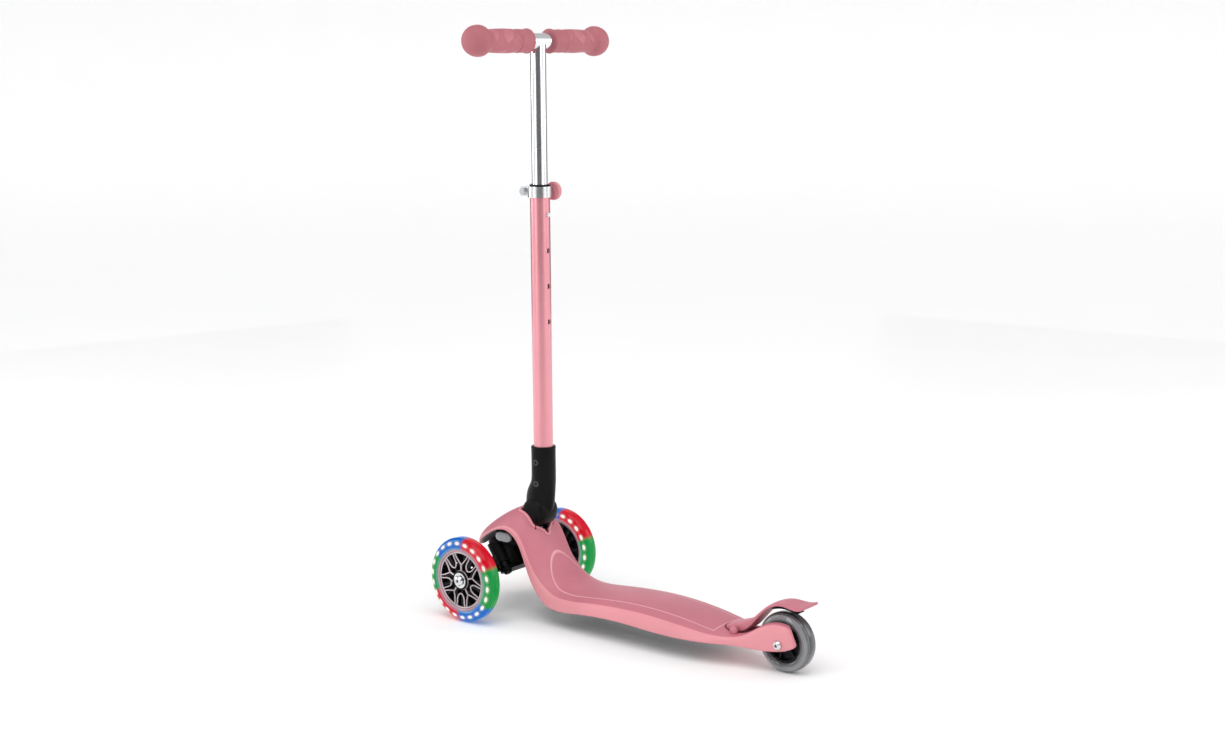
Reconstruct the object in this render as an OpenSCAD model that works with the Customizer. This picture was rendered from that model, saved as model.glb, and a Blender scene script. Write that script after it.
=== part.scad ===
// Child's three-wheel folding kick scooter that steers by leaning.
// +X is forward, +Y is the rider's left, +Z is up. All sizes are in millimetres.
// The origin is on the ground, midway between the front wheels' front and the rear wheel's back.

/* [Overall] */
// Distance from the front axles to the rear axle
wheelbase = 477; // [400:1:560]
// Distance between the centres of the two front wheels
track = 209; // [180:1:260]
// Height of the handlebar's axis at its highest setting
bar_height = 809; // [720:1:900]
// Width of the handlebar over both grips
bar_width = 278; // [230:1:340]
// Distance of the upright tube behind the front axles
stem_back = 58; // [50:1:66]

/* [Wheels] */
// Diameter of each front wheel
front_wheel_d = 121; // [110:1:130]
// Width of each front wheel
front_wheel_w = 24; // [20:1:28]
// Diameter of the rear wheel
rear_wheel_d = 80; // [72:1:86]
// Width of the rear wheel
rear_wheel_w = 24; // [20:1:26]
// Outside diameter of each wheel bearing
bearing_d = 22; // [19:1:24]
// Diameter of the wheel axles
axle_d = 8; // [6:0.5:8]
// Number of light windows round each front tyre
light_count = 22; // [12:1:26]

/* [Deck] */
// Half of the deck's greatest width
deck_half_w = 56; // [50:1:66]
// Thickness of the deck shell
deck_wall = 4; // [3:0.5:5]
// Height of the arch's crest above the ground
arch_top = 155.5; // [150:0.5:162]

/* [Upright] */
// Diameter of the lower tube
lower_tube_d = 28; // [27:0.5:30]
// Diameter of the upper tube
upper_tube_d = 22; // [20:0.5:22.5]
// Top of the lower tube above the ground
lower_tube_top = 611; // [560:1:640]
// Diameter of the crossbar
crossbar_d = 22; // [20:0.5:24]
// Wall thickness of the upper tube and crossbar
tube_wall = 1.7; // [1.2:0.1:2.4]
// Distance between two height holes
hole_pitch = 50; // [40:1:55]
// Number of height holes
hole_count = 4; // [2:1:4]
// Diameter of the spring button
button_d = 6.8; // [5:0.1:8]

/* [Steering] */
// Lean of the kingpins from upright, tops forward
kingpin_lean = 35; // [25:1:40]
// Distance of each kingpin from the middle
kingpin_y = 34; // [31:1:38]
// Diameter of the kingpins
kingpin_d = 8; // [6:0.5:9]
// Length of each steering arm
steer_arm = 26; // [24:1:30]

/* [Grips] */
// Diameter of the grip's end bulb
bulb_d = 42.4; // [38:0.1:48]
// Diameter of the grip's body
grip_d = 32.4; // [30:0.1:36]
// Gap between the two grips at the middle
grip_gap = 43; // [38:1:60]

/* [Hidden] */
$fn = 64;
soft = 32;
tiny = 0.01;
run = 0.05;
far = 400;
front_r = front_wheel_d / 2;
rear_r = rear_wheel_d / 2;
fx = (wheelbase + rear_r + front_r) / 2 - front_r;
rx = fx - wheelbase;
sx = fx - stem_back;
axle_r = axle_d / 2;
bear_r = bearing_d / 2;
// fold hinge
px = sx + 8;
pz = arch_top - 8.5;
pivot_r = 22;
pivot_half = 15.5;
fold_pin_r = 5;
cup_r = pivot_r + 1.4;
cup_half = 16.4;
// upright
low_r = lower_tube_d / 2;
up_r = upper_tube_d / 2;
bar_r = crossbar_d / 2;
bore_r = up_r + 0.8;
housing_r = low_r + 3.5;
housing_top = 244;
tube_foot = 172;
top_hole_z = lower_tube_top - 39;
upper_foot = 332;
// clamp
collar_h = 15;
collar_z = lower_tube_top - collar_h;
bolt_x = sx + 22;
lever_y = -14;
// truck frame, whose local Z is along the kingpins
kx = fx - 3;
kz = front_r + 17.5;
king_r = kingpin_d / 2;
barrel_r = 10.5;
// axle position in the truck frame
ax_u = (fx - kx) * cos(kingpin_lean) - (front_r - kz) * sin(kingpin_lean);
ax_w = (fx - kx) * sin(kingpin_lean) + (front_r - kz) * cos(kingpin_lean);
wheel_y = track / 2;
rim_r = front_r - 16;

pink = [0.87, 0.49, 0.55];
dusky = [0.74, 0.44, 0.5];
black = [0.07, 0.07, 0.08];
silver = [0.78, 0.79, 0.8];
steel = [0.55, 0.56, 0.58];
bronze = [0.7, 0.5, 0.25];
clear = [0.8, 0.85, 0.9];
smoky = [0.45, 0.47, 0.5];
white = [1, 1, 1];
grey = [0.62, 0.63, 0.65];

// ---------- curve helpers ----------

function cr(a, b, c, d, t) = 0.5 * ((2 * b) + (c - a) * t + (2 * a - 5 * b + 4 * c - d) * t * t
    + (3 * b - a - 3 * c + d) * t * t * t);
function spline(p, n) = concat([for (i = [0 : len(p) - 2], k = [0 : n - 1])
    cr(p[max(i - 1, 0)], p[i], p[i + 1], p[min(i + 2, len(p) - 1)], k / n)], [p[len(p) - 1]]);
function unit(v) = v / norm(v);
function inward(p, d) = [for (i = [0 : len(p) - 1])
    let (t = unit(p[min(i + 1, len(p) - 1)] - p[max(i - 1, 0)])) p[i] + d * [-t.y, t.x]];
function mid(f) = (fx - 150) + f * ((rx + 100) - (fx - 150));

// crest line of the whole deck, nose to fork end
crest = spline([
    [fx + 56, 86], [fx + 50, 102], [fx + 38, 116], [fx + 16, 132], [fx - 6, 145],
    [fx - 24, arch_top - 2], [fx - 37, arch_top], [fx - 47, arch_top - 7.5], [fx - 58, 128],
    [fx - 68, 109], [fx - 80, 91], [fx - 94, 74], [fx - 112, 60], [fx - 132, 53.5],
    [mid(0), 52], [mid(0.21), 56.5], [mid(0.41), 59], [mid(0.72), 55.5], [mid(1), 45.5],
    [rx + 74, 42], [rx + 50, 47], [rx + 26, 62], [rx + 8, 69], [rx - 7, 69.5],
    [rx - 14, 67], [rx - 20, 57], [rx - 31, 33]], 3);
// lower line, fork end to nose, up over the wheel arch
sole = spline([
    [rx - 26, 41], [rx, 30.5], [rx + 28, 27], [rx + 57, 28.5], [rx + 76, 30], [mid(0.95), 27.5],
    [mid(0.75), 27], [mid(0.46), 30.5], [mid(0.2), 31], [mid(0.03), 27.5], [fx - 130, 23],
    [fx - 112, 22], [fx - 98, 27.5], [fx - 84, 38], [fx - 70, 57], [fx - 60, 78], [fx - 52, 99],
    [fx - 40, 114], [fx - 18, 122], [fx + 6, 118], [fx + 26, 107], [fx + 42, 94], [fx + 50, 82]], 3);
// half of the plan outline, nose to fork end
side = [
    [fx + 57, 0], [fx + 56, 16], [fx + 51, 27], [fx + 40, 36], [fx + 20, 42], [fx - 10, 45],
    [fx - 50, 46], [fx - 80, 47.5], [fx - 105, deck_half_w - 6], [fx - 135, deck_half_w - 1.5],
    [mid(0.1), deck_half_w], [mid(0.6), deck_half_w], [mid(0.85), deck_half_w - 2],
    [rx + 92, deck_half_w - 8], [rx + 72, deck_half_w - 18], [rx + 50, 29.5], [rx + 36, 25],
    [rx + 16, 22.6], [rx - 26, 21.6], [rx - 26, 0]];
// half of the inset panel's outline
inset = [
    [fx - 80, 0], [fx - 82, 12], [fx - 88, 21], [fx - 100, 28], [fx - 120, 33],
    [mid(0), 37], [mid(0.3), 38], [mid(0.7), 35], [mid(1), 31], [rx + 94, 29], [rx + 92, 0]];

// A profile in X and Z swept sideways, while moving dx forward and dz up per unit of Y.
module skew_prism(p, dx, dz, reach) {
    d = unit([dx, 1, dz]);
    tilt = acos(d.z);
    turn = atan2(d.y, d.x);
    u = [cos(tilt) * cos(turn), cos(tilt) * sin(turn), -sin(tilt)];
    v = [-sin(turn), cos(turn), 0];
    rotate([0, tilt, turn]) translate([0, 0, -reach])
        linear_extrude(2 * reach) polygon([for (q = p) [q.x * u.x + q.y * u.z, q.x * v.x + q.y * v.z]]);
}

module profile_prism(p, half) {
    rotate([90, 0, 0]) translate([0, 0, -half]) linear_extrude(2 * half) polygon(p);
}

module plan_prism(p, low, high) {
    translate([0, 0, low]) linear_extrude(high - low)
        polygon(concat(p, [for (i = [len(p) - 1 : -1 : 0]) [p[i].x, -p[i].y]]));
}

module both_sides() {
    children();
    mirror([0, 1, 0]) children();
}

function closed_below(p) = concat(p, [[p[len(p) - 1].x - 2, p[len(p) - 1].y - 30],
    [p[len(p) - 1].x - 2, -far], [p[0].x + 60, -far]]);
function shifted(p, x, z) = [for (q = p) [q.x + x, q.y + z]];
crown_y = 13;
leg_dx = 0.5;
leg_dz = -0.13;
nose_y = 12;
nose_dx = 0.06;
nose_dz = -0.36;
nose_end = 18;

// Space under the crest line, lowered by d, with its crown falling to both sides.
module under_crest(d) {
    c = inward(crest, d);
    n = [for (i = [0 : nose_end]) c[i]];
    intersection() {
        profile_prism(closed_below(c), 90);
        skew_prism(closed_below(shifted(c, -crown_y * leg_dx, -crown_y * leg_dz)), leg_dx, leg_dz, 200);
        mirror([0, 1, 0])
            skew_prism(closed_below(shifted(c, -crown_y * leg_dx, -crown_y * leg_dz)), leg_dx, leg_dz, 200);
        both_nose(n, d, false);
        both_nose(n, d, true);
    }
}

// Limits only the nose; behind it the profile goes up out of the way.
module both_nose(n, d, flip) {
    q = shifted(n, -nose_y * nose_dx, -nose_y * nose_dz);
    e = q[len(q) - 1];
    p = concat(q, [[e.x - 4 - 2 * d, e.y - 0.6 * d], [e.x - 4 - 2 * d, far],
        [rx - 200, far], [rx - 200, -far], [q[0].x + 20, -far]]);
    mirror([0, flip ? 1 : 0, 0]) skew_prism(p, nose_dx, nose_dz, 200);
}

// Space above the lower line, raised by d.
module above_sole(d) {
    s = inward(sole, d);
    profile_prism(concat(s, [[s[len(s) - 1].x + 40, s[len(s) - 1].y - 4], [fx + 120, far], [rx - 150, far],
        [s[0].x - 4, far], [s[0].x - 4, s[0].y]]), 85);
}

function narrowed(p, w) = [for (q = p) [q.x, max(q.y - w, 0)]];

module axis_y(x, z) {
    translate([x, 0, z]) rotate([-90, 0, 0]) children();
}

// Cylinder along Y between two y values.
module rod_y(x, z, r, y0, y1) {
    translate([x, y0, z]) rotate([-90, 0, 0]) cylinder(r = r, h = y1 - y0);
}

module truck() {
    translate([kx, 0, kz]) rotate([0, kingpin_lean, 0]) children();
}

module pin_axis(y) {
    translate([0, y, 0]) children();
}

// Flat bar with rounded ends between two points, flat on local Z.
module link(a, b, ra, rb, h) {
    hull() {
        translate([a.x, a.y, 0]) cylinder(r = ra, h = h, $fn = soft);
        translate([b.x, b.y, 0]) cylinder(r = rb, h = h, $fn = soft);
    }
}

module hex_socket(af, h) {
    cylinder(r = af / sqrt(3), h = h, $fn = 6);
}

// Domed cap screw: head's seat at z = 0, shank pointing down.
module cap_screw(head_r, head_h, shank_r, shank_l, af) {
    difference() {
        union() {
            rotate_extrude() polygon([[0, 0], [head_r, 0], [head_r, head_h * 0.45],
                [head_r * 0.86, head_h * 0.82], [head_r * 0.6, head_h], [0, head_h]]);
            translate([0, 0, -shank_l]) cylinder(r = shank_r, h = shank_l + tiny);
        }
        translate([0, 0, head_h * 0.35]) hex_socket(af, head_h);
    }
}

// ---------- deck ----------

module fork_well() {
    // room for the rear wheel and for the brake's root
    translate([rx - 60, -14.2, -5]) cube([60 + 47, 28.4, 120]);
    translate([rx + 40, -18, 35.5]) cube([38, 36, 60]);
    translate([rx + 78, 0, 35.5]) cylinder(r = 18, h = 60);
}

module fold_room() {
    // swing of the hinge barrel and, when folded, of the housing
    rod_y(px, pz, cup_r, -cup_half, cup_half);
    translate([px - 60, -cup_half, pz]) cube([60 + cup_r, 2 * cup_half, 60]);
    translate([sx, 0, pz]) cylinder(r = housing_r + 1.5, h = 60);
    translate([px, 0, pz - (px - sx)]) rotate([0, -90, 0]) cylinder(r = housing_r + 1.2, h = 120);
}

tray_bosses = [[mid(0), 32], [mid(0.5), 36], [mid(0.94), 34]];

module deck_shell() {
    color(pink) difference() {
        union() {
            intersection() {
                under_crest(0);
                above_sole(0);
                plan_prism(side, -20, 220);
                difference() {
                    translate([-far, -far, -50]) cube([2 * far, 2 * far, 400]);
                    intersection() {
                        under_crest(deck_wall);
                        plan_prism(narrowed(side, deck_wall), -60, 240);
                        translate([rx + 99, -100, -60]) cube([wheelbase - 99 + 52, 200, 400]);
                    }
                }
            }
            // stiffening ribs under the deck
            for (f = [0.1, 0.3, 0.5, 0.7, 0.9]) intersection() {
                under_crest(deck_wall - 1);
                above_sole(4.5);
                plan_prism(narrowed(side, deck_wall - 1), -20, 220);
                translate([mid(f) + 14, -60, 0]) cube([2.5, 120, 80]);
            }
            // bosses for the tray screws
            for (b = tray_bosses) both_sides() intersection() {
                under_crest(deck_wall - 1);
                translate([b.x, b.y, 36]) cylinder(r = 4.5, h = 40);
            }
            // cup round the hinge barrel, which carries the fold pin and stands as a lip above the crest
            intersection() {
                under_crest(-1.4);
                rod_y(px, pz, cup_r + 3.4, -22.6, 22.6);
                translate([px - 60, -30, bracket_z + 0.3]) cube([120, 60, 60]);
            }
        }
        fold_room();
        fork_well();
        // seat for the inset panel
        intersection() {
            plan_prism(inset, 20, 200);
            difference() {
                under_crest(-2);
                under_crest(1.3);
            }
        }
        rod_y(px, pz, fold_pin_r + tiny, -21.1, 21.1);
        bracket_room();
        rod_y(rx, rear_r, axle_r + 0.1, -40, 40);
        rod_y(rx + 70, 46, 3.05, -24, 24);
        for (b = tray_bosses) both_sides() translate([b.x, b.y, 20]) cylinder(r = 1.65, h = 28);
    }
}

module deck_top_panel() {
    color(dusky) difference() {
        intersection() {
            plan_prism([for (q = inset) [q.x, max(q.y - 0.15, 0)]], 20, 200);
            translate([rx + 97.2, -60, 0]) cube([wheelbase - 98 - 79.4, 120, 200]);
            under_crest(-0.5);
        }
        under_crest(1.25);
    }
}

tray_from = rx + 101;
tray_to = fx - 63;
tray_low = 0.4;
screw_seat = 3.3;
function sole_z(x) = lookup(x, sole);
function kept(p) = [for (q = p) if (q.x > tray_from && q.x < tray_to && q.y < 99) q];
function flipped(p) = [for (i = [len(p) - 1 : -1 : 0]) p[i]];

module under_tray() {
    color(black) difference() {
        union() {
            intersection() {
                profile_prism(concat(kept(inward(sole, tray_low)),
                    flipped(kept(inward(sole, tray_low + 2.4)))), 80);
                plan_prism(narrowed(side, deck_wall + 0.3), -40, 220);
            }
            for (b = tray_bosses) both_sides()
                translate([b.x, b.y, sole_z(b.x) + 1]) cylinder(r = 5, h = 35.9 - sole_z(b.x) - 1);
        }
        for (b = tray_bosses) both_sides() {
            translate([b.x, b.y, 0]) cylinder(r = 1.8, h = 60);
            translate([b.x, b.y, 0]) cylinder(r = 3.7, h = sole_z(b.x) + screw_seat);
        }
    }
}

module tray_screws() {
    color(steel) for (b = tray_bosses) both_sides()
        translate([b.x, b.y, sole_z(b.x) + screw_seat]) mirror([0, 0, 1]) cap_screw(3.4, 2.6, 1.6, 13, 2.5);
}

// ---------- front chassis, kingpins and springs ----------

block_low = 100;
bracket_z = 120;

module front_chassis() {
    color(black) difference() {
        union() {
            truck() {
                translate([-15, -17, -23]) cube([30, 34, 50]);
                for (w = [-23, 17.4]) difference() {
                    union() {
                        translate([-12, -kingpin_y, w]) cube([24, 2 * kingpin_y, 5.6]);
                        both_sides() pin_axis(kingpin_y) translate([0, 0, w]) cylinder(r = 10.4, h = 5.6);
                    }
                }
            }
            // block that fills the arch from below and carries the folding bracket
            intersection() {
                union() {
                    translate([fx - 38, -36, block_low]) cube([42, 72, bracket_z - block_low]);
                    translate([px - 12, -21, block_low - 4]) cube([40, 42, bracket_z - block_low + 4]);
                    translate([px + 28, -36, bracket_z - tiny]) cube([24, 72, 8]);
                }
                under_crest(deck_wall + 0.3);
                plan_prism(narrowed(side, deck_wall + 0.3), 60, 200);
            }
        }
        truck() both_sides() pin_axis(kingpin_y) {
            translate([0, 0, -30]) cylinder(r = king_r + 0.03, h = 70);
            translate([0, 0, 23]) cylinder(r = 9, h = 30);
            translate([0, 0, -14]) cylinder(r = barrel_r + 1, h = 31.3);
        }
        // bore for the latch pin and pocket for the folding button
        translate([px, 0, 90]) cylinder(r = 4.08, h = 60);
        fold_button_shape(0.35, 25.6, 60);
        // slot for the steering lock's stem
        truck() translate([-30, -6, -20.6]) cube([20, 12, 5.2]);
        chassis_screw_places() translate([0, 0, -20]) cylinder(r = 2.05, h = 21);
    }
}

module chassis_screw_places() {
    for (x = [px + 34, px + 46]) both_sides() translate([x, 24, block_low + 28]) children();
}

module chassis_screws() {
    color(steel) chassis_screw_places() cap_screw(3.6, 3, 2, 16, 3);
}

// Space in the shell for the steel bracket's plates.
module bracket_room() {
    both_sides() {
        rod_y(px, pz, 8.3, cup_half - tiny, 19.4);
        translate([px - 8.3, cup_half - tiny, 105]) cube([16.6, 19.4 - cup_half + tiny, pz - 105]);
    }
    translate([px - 8.3, -19.4, 105]) cube([16.6, 38.8, 17.5]);
    translate([px, 0, 100]) cylinder(r = 4.4, h = 30);
}

module fold_bracket() {
    color(steel) difference() {
        union() {
            both_sides() {
                rod_y(px, pz, 8, 17.3, 19.2);
                translate([px - 8, 17.3, bracket_z]) cube([16, 1.9, pz - bracket_z]);
            }
            translate([px - 8, -19.2, bracket_z]) cube([16, 38.4, 2]);
        }
        rod_y(px, pz, fold_pin_r + tiny, -30, 30);
        translate([px, 0, 100]) cylinder(r = 4.4, h = 30);
    }
}

module fold_pin() {
    color(silver) rod_y(px, pz, fold_pin_r, -19.4, 19.4);
}

module kingpins() {
    color(silver) truck() both_sides() pin_axis(kingpin_y) translate([0, 0, -23.05]) mirror([0, 0, 1])
        cap_screw(6.5, 4.5, king_r, 50, 5);
}

module kingpin_nuts() {
    color(steel) truck() both_sides() pin_axis(kingpin_y) translate([0, 0, 23.1]) difference() {
        union() {
            cylinder(r = 7, h = 4, $fn = 6);
            cylinder(r = 5.2, h = 5.5);
        }
        translate([0, 0, -1]) cylinder(r = king_r + 0.02, h = 5.2);
    }
}

module centring_springs() {
    color(steel) truck() both_sides() pin_axis(kingpin_y) for (i = [0 : 2])
        translate([0, 0, -15.9 + 2.3 * i]) rotate_extrude() translate([7.6, 0]) circle(r = 1.1, $fn = 16);
}

// ---------- knuckles and tie rod ----------

barrel_low = -8.6;
barrel_high = 17;

// The left knuckle; the right one is its mirror image.
module knuckle() {
    difference() {
        union() {
            truck() pin_axis(kingpin_y) {
                translate([0, 0, barrel_low]) cylinder(r = barrel_r, h = barrel_high - barrel_low);
                translate([0, 0, barrel_low]) link([0, 0], [steer_arm, 0], 8, 6.5, 6);
            }
            hull() {
                truck() pin_axis(kingpin_y) translate([0, 0, barrel_low + 0.5])
                    cylinder(r = 7, h = 16, $fn = soft);
                translate([fx, 48, front_r]) rotate([-90, 0, 0]) cylinder(r = 8.6, h = 10, $fn = soft);
            }
            rod_y(fx, front_r, 9, 48, wheel_y - 20);
            translate([fx, wheel_y - 20, front_r]) rotate([-90, 0, 0]) cylinder(r1 = 9, r2 = 7, h = 6.4);
        }
        truck() pin_axis(kingpin_y) {
            translate([0, 0, -40]) cylinder(r = 5.8, h = 80);
            translate([0, 0, -40]) cylinder(r = barrel_r + 1, h = 40 + barrel_low);
            translate([steer_arm, 0, -20]) cylinder(r = 3 + run, h = 40);
        }
        rod_y(fx, front_r, axle_r + tiny, 58, 140);
    }
}

module knuckle_bush() {
    truck() pin_axis(kingpin_y) difference() {
        translate([0, 0, barrel_low - 0.2]) cylinder(r = 5.78, h = barrel_high - barrel_low + 0.4);
        translate([0, 0, barrel_low - 1]) cylinder(r = king_r + run, h = 40);
    }
}

module axle_bolt() {
    translate([fx, wheel_y + front_wheel_w / 2 + 0.3, front_r]) rotate([-90, 0, 0])
        cap_screw(7, 4.4, axle_r, wheel_y + front_wheel_w / 2 + 0.3 - 59, 5);
}

// Still ring on the axle between the bearings, which the wheel's coil turns round.
module magnet_core() {
    translate([fx, wheel_y, front_r]) rotate([-90, 0, 0]) difference() {
        translate([0, 0, -4.6]) cylinder(r = 7.4, h = 9.2);
        translate([0, 0, -6]) cylinder(r = axle_r + 0.02, h = 12);
    }
}

module knuckle_left() { color(black) knuckle(); }
module knuckle_right() { color(black) mirror([0, 1, 0]) knuckle(); }
module knuckle_bush_left() { color(bronze) knuckle_bush(); }
module knuckle_bush_right() { color(bronze) mirror([0, 1, 0]) knuckle_bush(); }
module axle_bolt_left() { color(silver) axle_bolt(); }
module axle_bolt_right() { color(silver) mirror([0, 1, 0]) axle_bolt(); }
module magnet_core_left() { color(steel) magnet_core(); }
module magnet_core_right() { color(steel) mirror([0, 1, 0]) magnet_core(); }

rod_low = barrel_low - 6.1;

module tie_rod() {
    color(steel) truck() difference() {
        union() {
            both_sides() translate([steer_arm, kingpin_y, rod_low]) cylinder(r = 6.5, h = 5.6);
            translate([steer_arm - 4, -kingpin_y, rod_low]) cube([8, 2 * kingpin_y, 5.6]);
        }
        both_sides() translate([steer_arm, kingpin_y, rod_low - 1]) cylinder(r = 3 + tiny, h = 10);
    }
}

module tie_rod_pins() {
    color(silver) truck() both_sides() translate([steer_arm, kingpin_y, rod_low - 2.2]) {
        cylinder(r = 3, h = 15);
        cylinder(r = 5, h = 2.1);
    }
}

// ---------- front wheels ----------

// Half-round edged ring section between two radii, centred on its width.
module wheel_section(r0, r1, w, edge) {
    polygon(concat([[r0, -w / 2]],
        [for (a = [0 : 6]) [r1 - edge + edge * sin(a * 15), -w / 2 + edge - edge * cos(a * 15)]],
        [for (a = [6 : -1 : 0]) [r1 - edge + edge * sin(a * 15), w / 2 - edge + edge * cos(a * 15)]],
        [[r0, w / 2]]));
}

module at_front_wheel() {
    translate([fx, wheel_y, front_r]) rotate([-90, 0, 0]) children();
}

window_r = front_r - 6.6;

module window_slots(grow) {
    for (i = [0 : light_count - 1]) rotate([0, 0, i * 360 / light_count + 4])
        translate([window_r, 0, -front_wheel_w]) {
            translate([-1.5 - grow, -2.1, 0]) cube([3 + 2 * grow, 4.2, 2 * front_wheel_w]);
            for (s = [-1, 1]) translate([0, 2.1 * s, 0])
                cylinder(r = 1.5 + grow, h = 2 * front_wheel_w, $fn = 20);
        }
}

module tyre() {
    at_front_wheel() difference() {
        rotate_extrude() wheel_section(rim_r + 0.3, front_r, front_wheel_w, 9);
        window_slots(0.05);
    }
}

module light_windows() {
    at_front_wheel() intersection() {
        window_slots(0);
        rotate_extrude() wheel_section(rim_r + 2, front_r + 0.3, front_wheel_w + 0.6, 9.2);
    }
}

module rim_ring() {
    w = front_wheel_w - 3;
    at_front_wheel() rotate_extrude() polygon([[rim_r - 3.2, -w / 2], [rim_r + 0.1, -w / 2],
        [rim_r + 0.28, -w / 2 + 1], [rim_r + 0.28, w / 2 - 1], [rim_r + 0.1, w / 2], [rim_r - 3.2, w / 2]]);
}

hub_w = front_wheel_w - 6;
spoke_count = 5;

module hub_face(w) {
    // straight spokes, and between them forked ribs that open outwards
    for (i = [0 : spoke_count - 1]) rotate([0, 0, i * 72 + 20]) {
        translate([10, -1.7, -w / 2]) cube([rim_r - 15, 3.4, w]);
        rotate([0, 0, 36]) {
            translate([10, -1.6, -w / 2]) cube([9, 3.2, w]);
            for (s = [-1, 1]) translate([18, 0, -w / 2]) rotate([0, 0, 38 * s])
                translate([0, -1.5, 0]) cube([12, 3, w]);
            for (s = [-1, 1]) translate([27.4, 7.4 * s, -w / 2]) rotate([0, 0, 8 * s])
                translate([-0.5, -1.5, 0]) cube([13.2, 3, w]);
        }
    }
}

module wheel_hub() {
    at_front_wheel() difference() {
        union() {
            difference() {
                translate([0, 0, -hub_w / 2]) cylinder(r = rim_r - 3.25, h = hub_w);
                translate([0, 0, -hub_w]) cylinder(r = rim_r - 6, h = 2 * hub_w);
            }
            translate([0, 0, -3]) cylinder(r = rim_r - 5.5, h = 3);
            intersection() {
                hub_face(hub_w - 2);
                translate([0, 0, -hub_w]) cylinder(r = rim_r - 5, h = 2 * hub_w);
            }
            translate([0, 0, -front_wheel_w / 2 + 0.6]) cylinder(r = bear_r + 2.6, h = front_wheel_w - 1.2);
        }
        for (s = [0, 1]) mirror([0, 0, s]) translate([0, 0, 4.7]) cylinder(r = bear_r + 0.01, h = 20);
        translate([0, 0, -20]) cylinder(r = 8.2, h = 40);
    }
}

// Shielded ball bearing, from z = 0 up.
module bearing(bore, outer, w) {
    difference() {
        cylinder(r = outer, h = w);
        translate([0, 0, -1]) cylinder(r = bore, h = w + 2);
        for (z = [-1, w - 0.5]) translate([0, 0, z]) difference() {
            cylinder(r = outer - 1.6, h = 1.5);
            translate([0, 0, -1]) cylinder(r = bore + 1.6, h = 4);
        }
    }
}

module bearings() {
    at_front_wheel() for (s = [0, 1]) mirror([0, 0, s]) translate([0, 0, 4.75])
        bearing(axle_r + run, bear_r, 7);
}

module wheel_hub_left() { color(black) wheel_hub(); }
module wheel_hub_right() { color(black) mirror([0, 1, 0]) wheel_hub(); }
module rim_ring_left() { color(grey) rim_ring(); }
module rim_ring_right() { color(grey) mirror([0, 1, 0]) rim_ring(); }
module tyre_left() { color(clear) tyre(); }
module tyre_right() { color(clear) mirror([0, 1, 0]) tyre(); }
module light_windows_left() { color(white) light_windows(); }
module light_windows_right() { color(white) mirror([0, 1, 0]) light_windows(); }
module bearings_left() { color(silver) bearings(); }
module bearings_right() { color(silver) mirror([0, 1, 0]) bearings(); }

// ---------- rear wheel and brake ----------

rear_rim = rear_r - 13;

module at_rear() {
    translate([rx, 0, rear_r]) rotate([-90, 0, 0]) children();
}

module rear_tyre() {
    color(smoky) at_rear() rotate_extrude() wheel_section(rear_rim + 0.05, rear_r, rear_wheel_w, 9);
}

module rear_hub() {
    color(black) at_rear() difference() {
        union() {
            difference() {
                translate([0, 0, -9]) cylinder(r = rear_rim, h = 18);
                translate([0, 0, -20]) cylinder(r = rear_rim - 3, h = 40);
            }
            translate([0, 0, -2]) cylinder(r = rear_rim - 2, h = 4);
            for (i = [0 : 5]) rotate([0, 0, 60 * i + 12]) translate([12, -1.5, -7])
                cube([rear_rim - 14, 3, 14]);
            translate([0, 0, -11.6]) cylinder(r = bear_r + 2.4, h = 23.2);
        }
        for (s = [0, 1]) mirror([0, 0, s]) translate([0, 0, 4.2]) cylinder(r = bear_r + 0.01, h = 20);
        translate([0, 0, -20]) cylinder(r = 8, h = 40);
    }
}

module rear_bearings() {
    color(silver) at_rear() for (s = [0, 1]) mirror([0, 0, s]) translate([0, 0, 4.25])
        bearing(axle_r + run, bear_r, 7);
}

module rear_spacers() {
    color(steel) at_rear() for (s = [0, 1]) mirror([0, 0, s]) translate([0, 0, 11.6]) difference() {
        cylinder(r = 6, h = 2.55);
        translate([0, 0, -1]) cylinder(r = axle_r + 0.02, h = 5);
    }
}

module rear_axle_bolt() {
    color(silver) translate([rx, 22.4, rear_r]) rotate([-90, 0, 0]) cap_screw(6, 3.6, axle_r, 48.5, 5);
}

module rear_axle_nut() {
    color(silver) translate([rx, -22.5, rear_r]) rotate([90, 0, 0]) difference() {
        union() {
            cylinder(r = 6.6, h = 3.2, $fn = 6);
            cylinder(r = 5, h = 4.6);
        }
        translate([0, 0, -1]) cylinder(r = axle_r + 0.02, h = 4.7);
    }
}

brake_x = rx + 70;
brake_z = 46;
fender_top = spline([[rx + 87, 47.5], [rx + 76, 53.5], [rx + 60, 59], [rx + 45, 67], [rx + 34, 78],
    [rx + 22, 88.5], [rx + 10, 94.5], [rx - 3, 96.5], [rx - 16, 94.5], [rx - 27, 94.5], [rx - 36, 98]], 3);
fender_low = spline([[rx - 35, 94.6], [rx - 26, 90.8], [rx - 16, 87], [rx - 2, 84.6], [rx + 12, 82.8],
    [rx + 24, 77.6], [rx + 35, 68.5], [rx + 43, 58], [rx + 52, 49], [rx + 64, 41.5], [rx + 76, 40],
    [rx + 86, 43.5]], 3);

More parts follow.
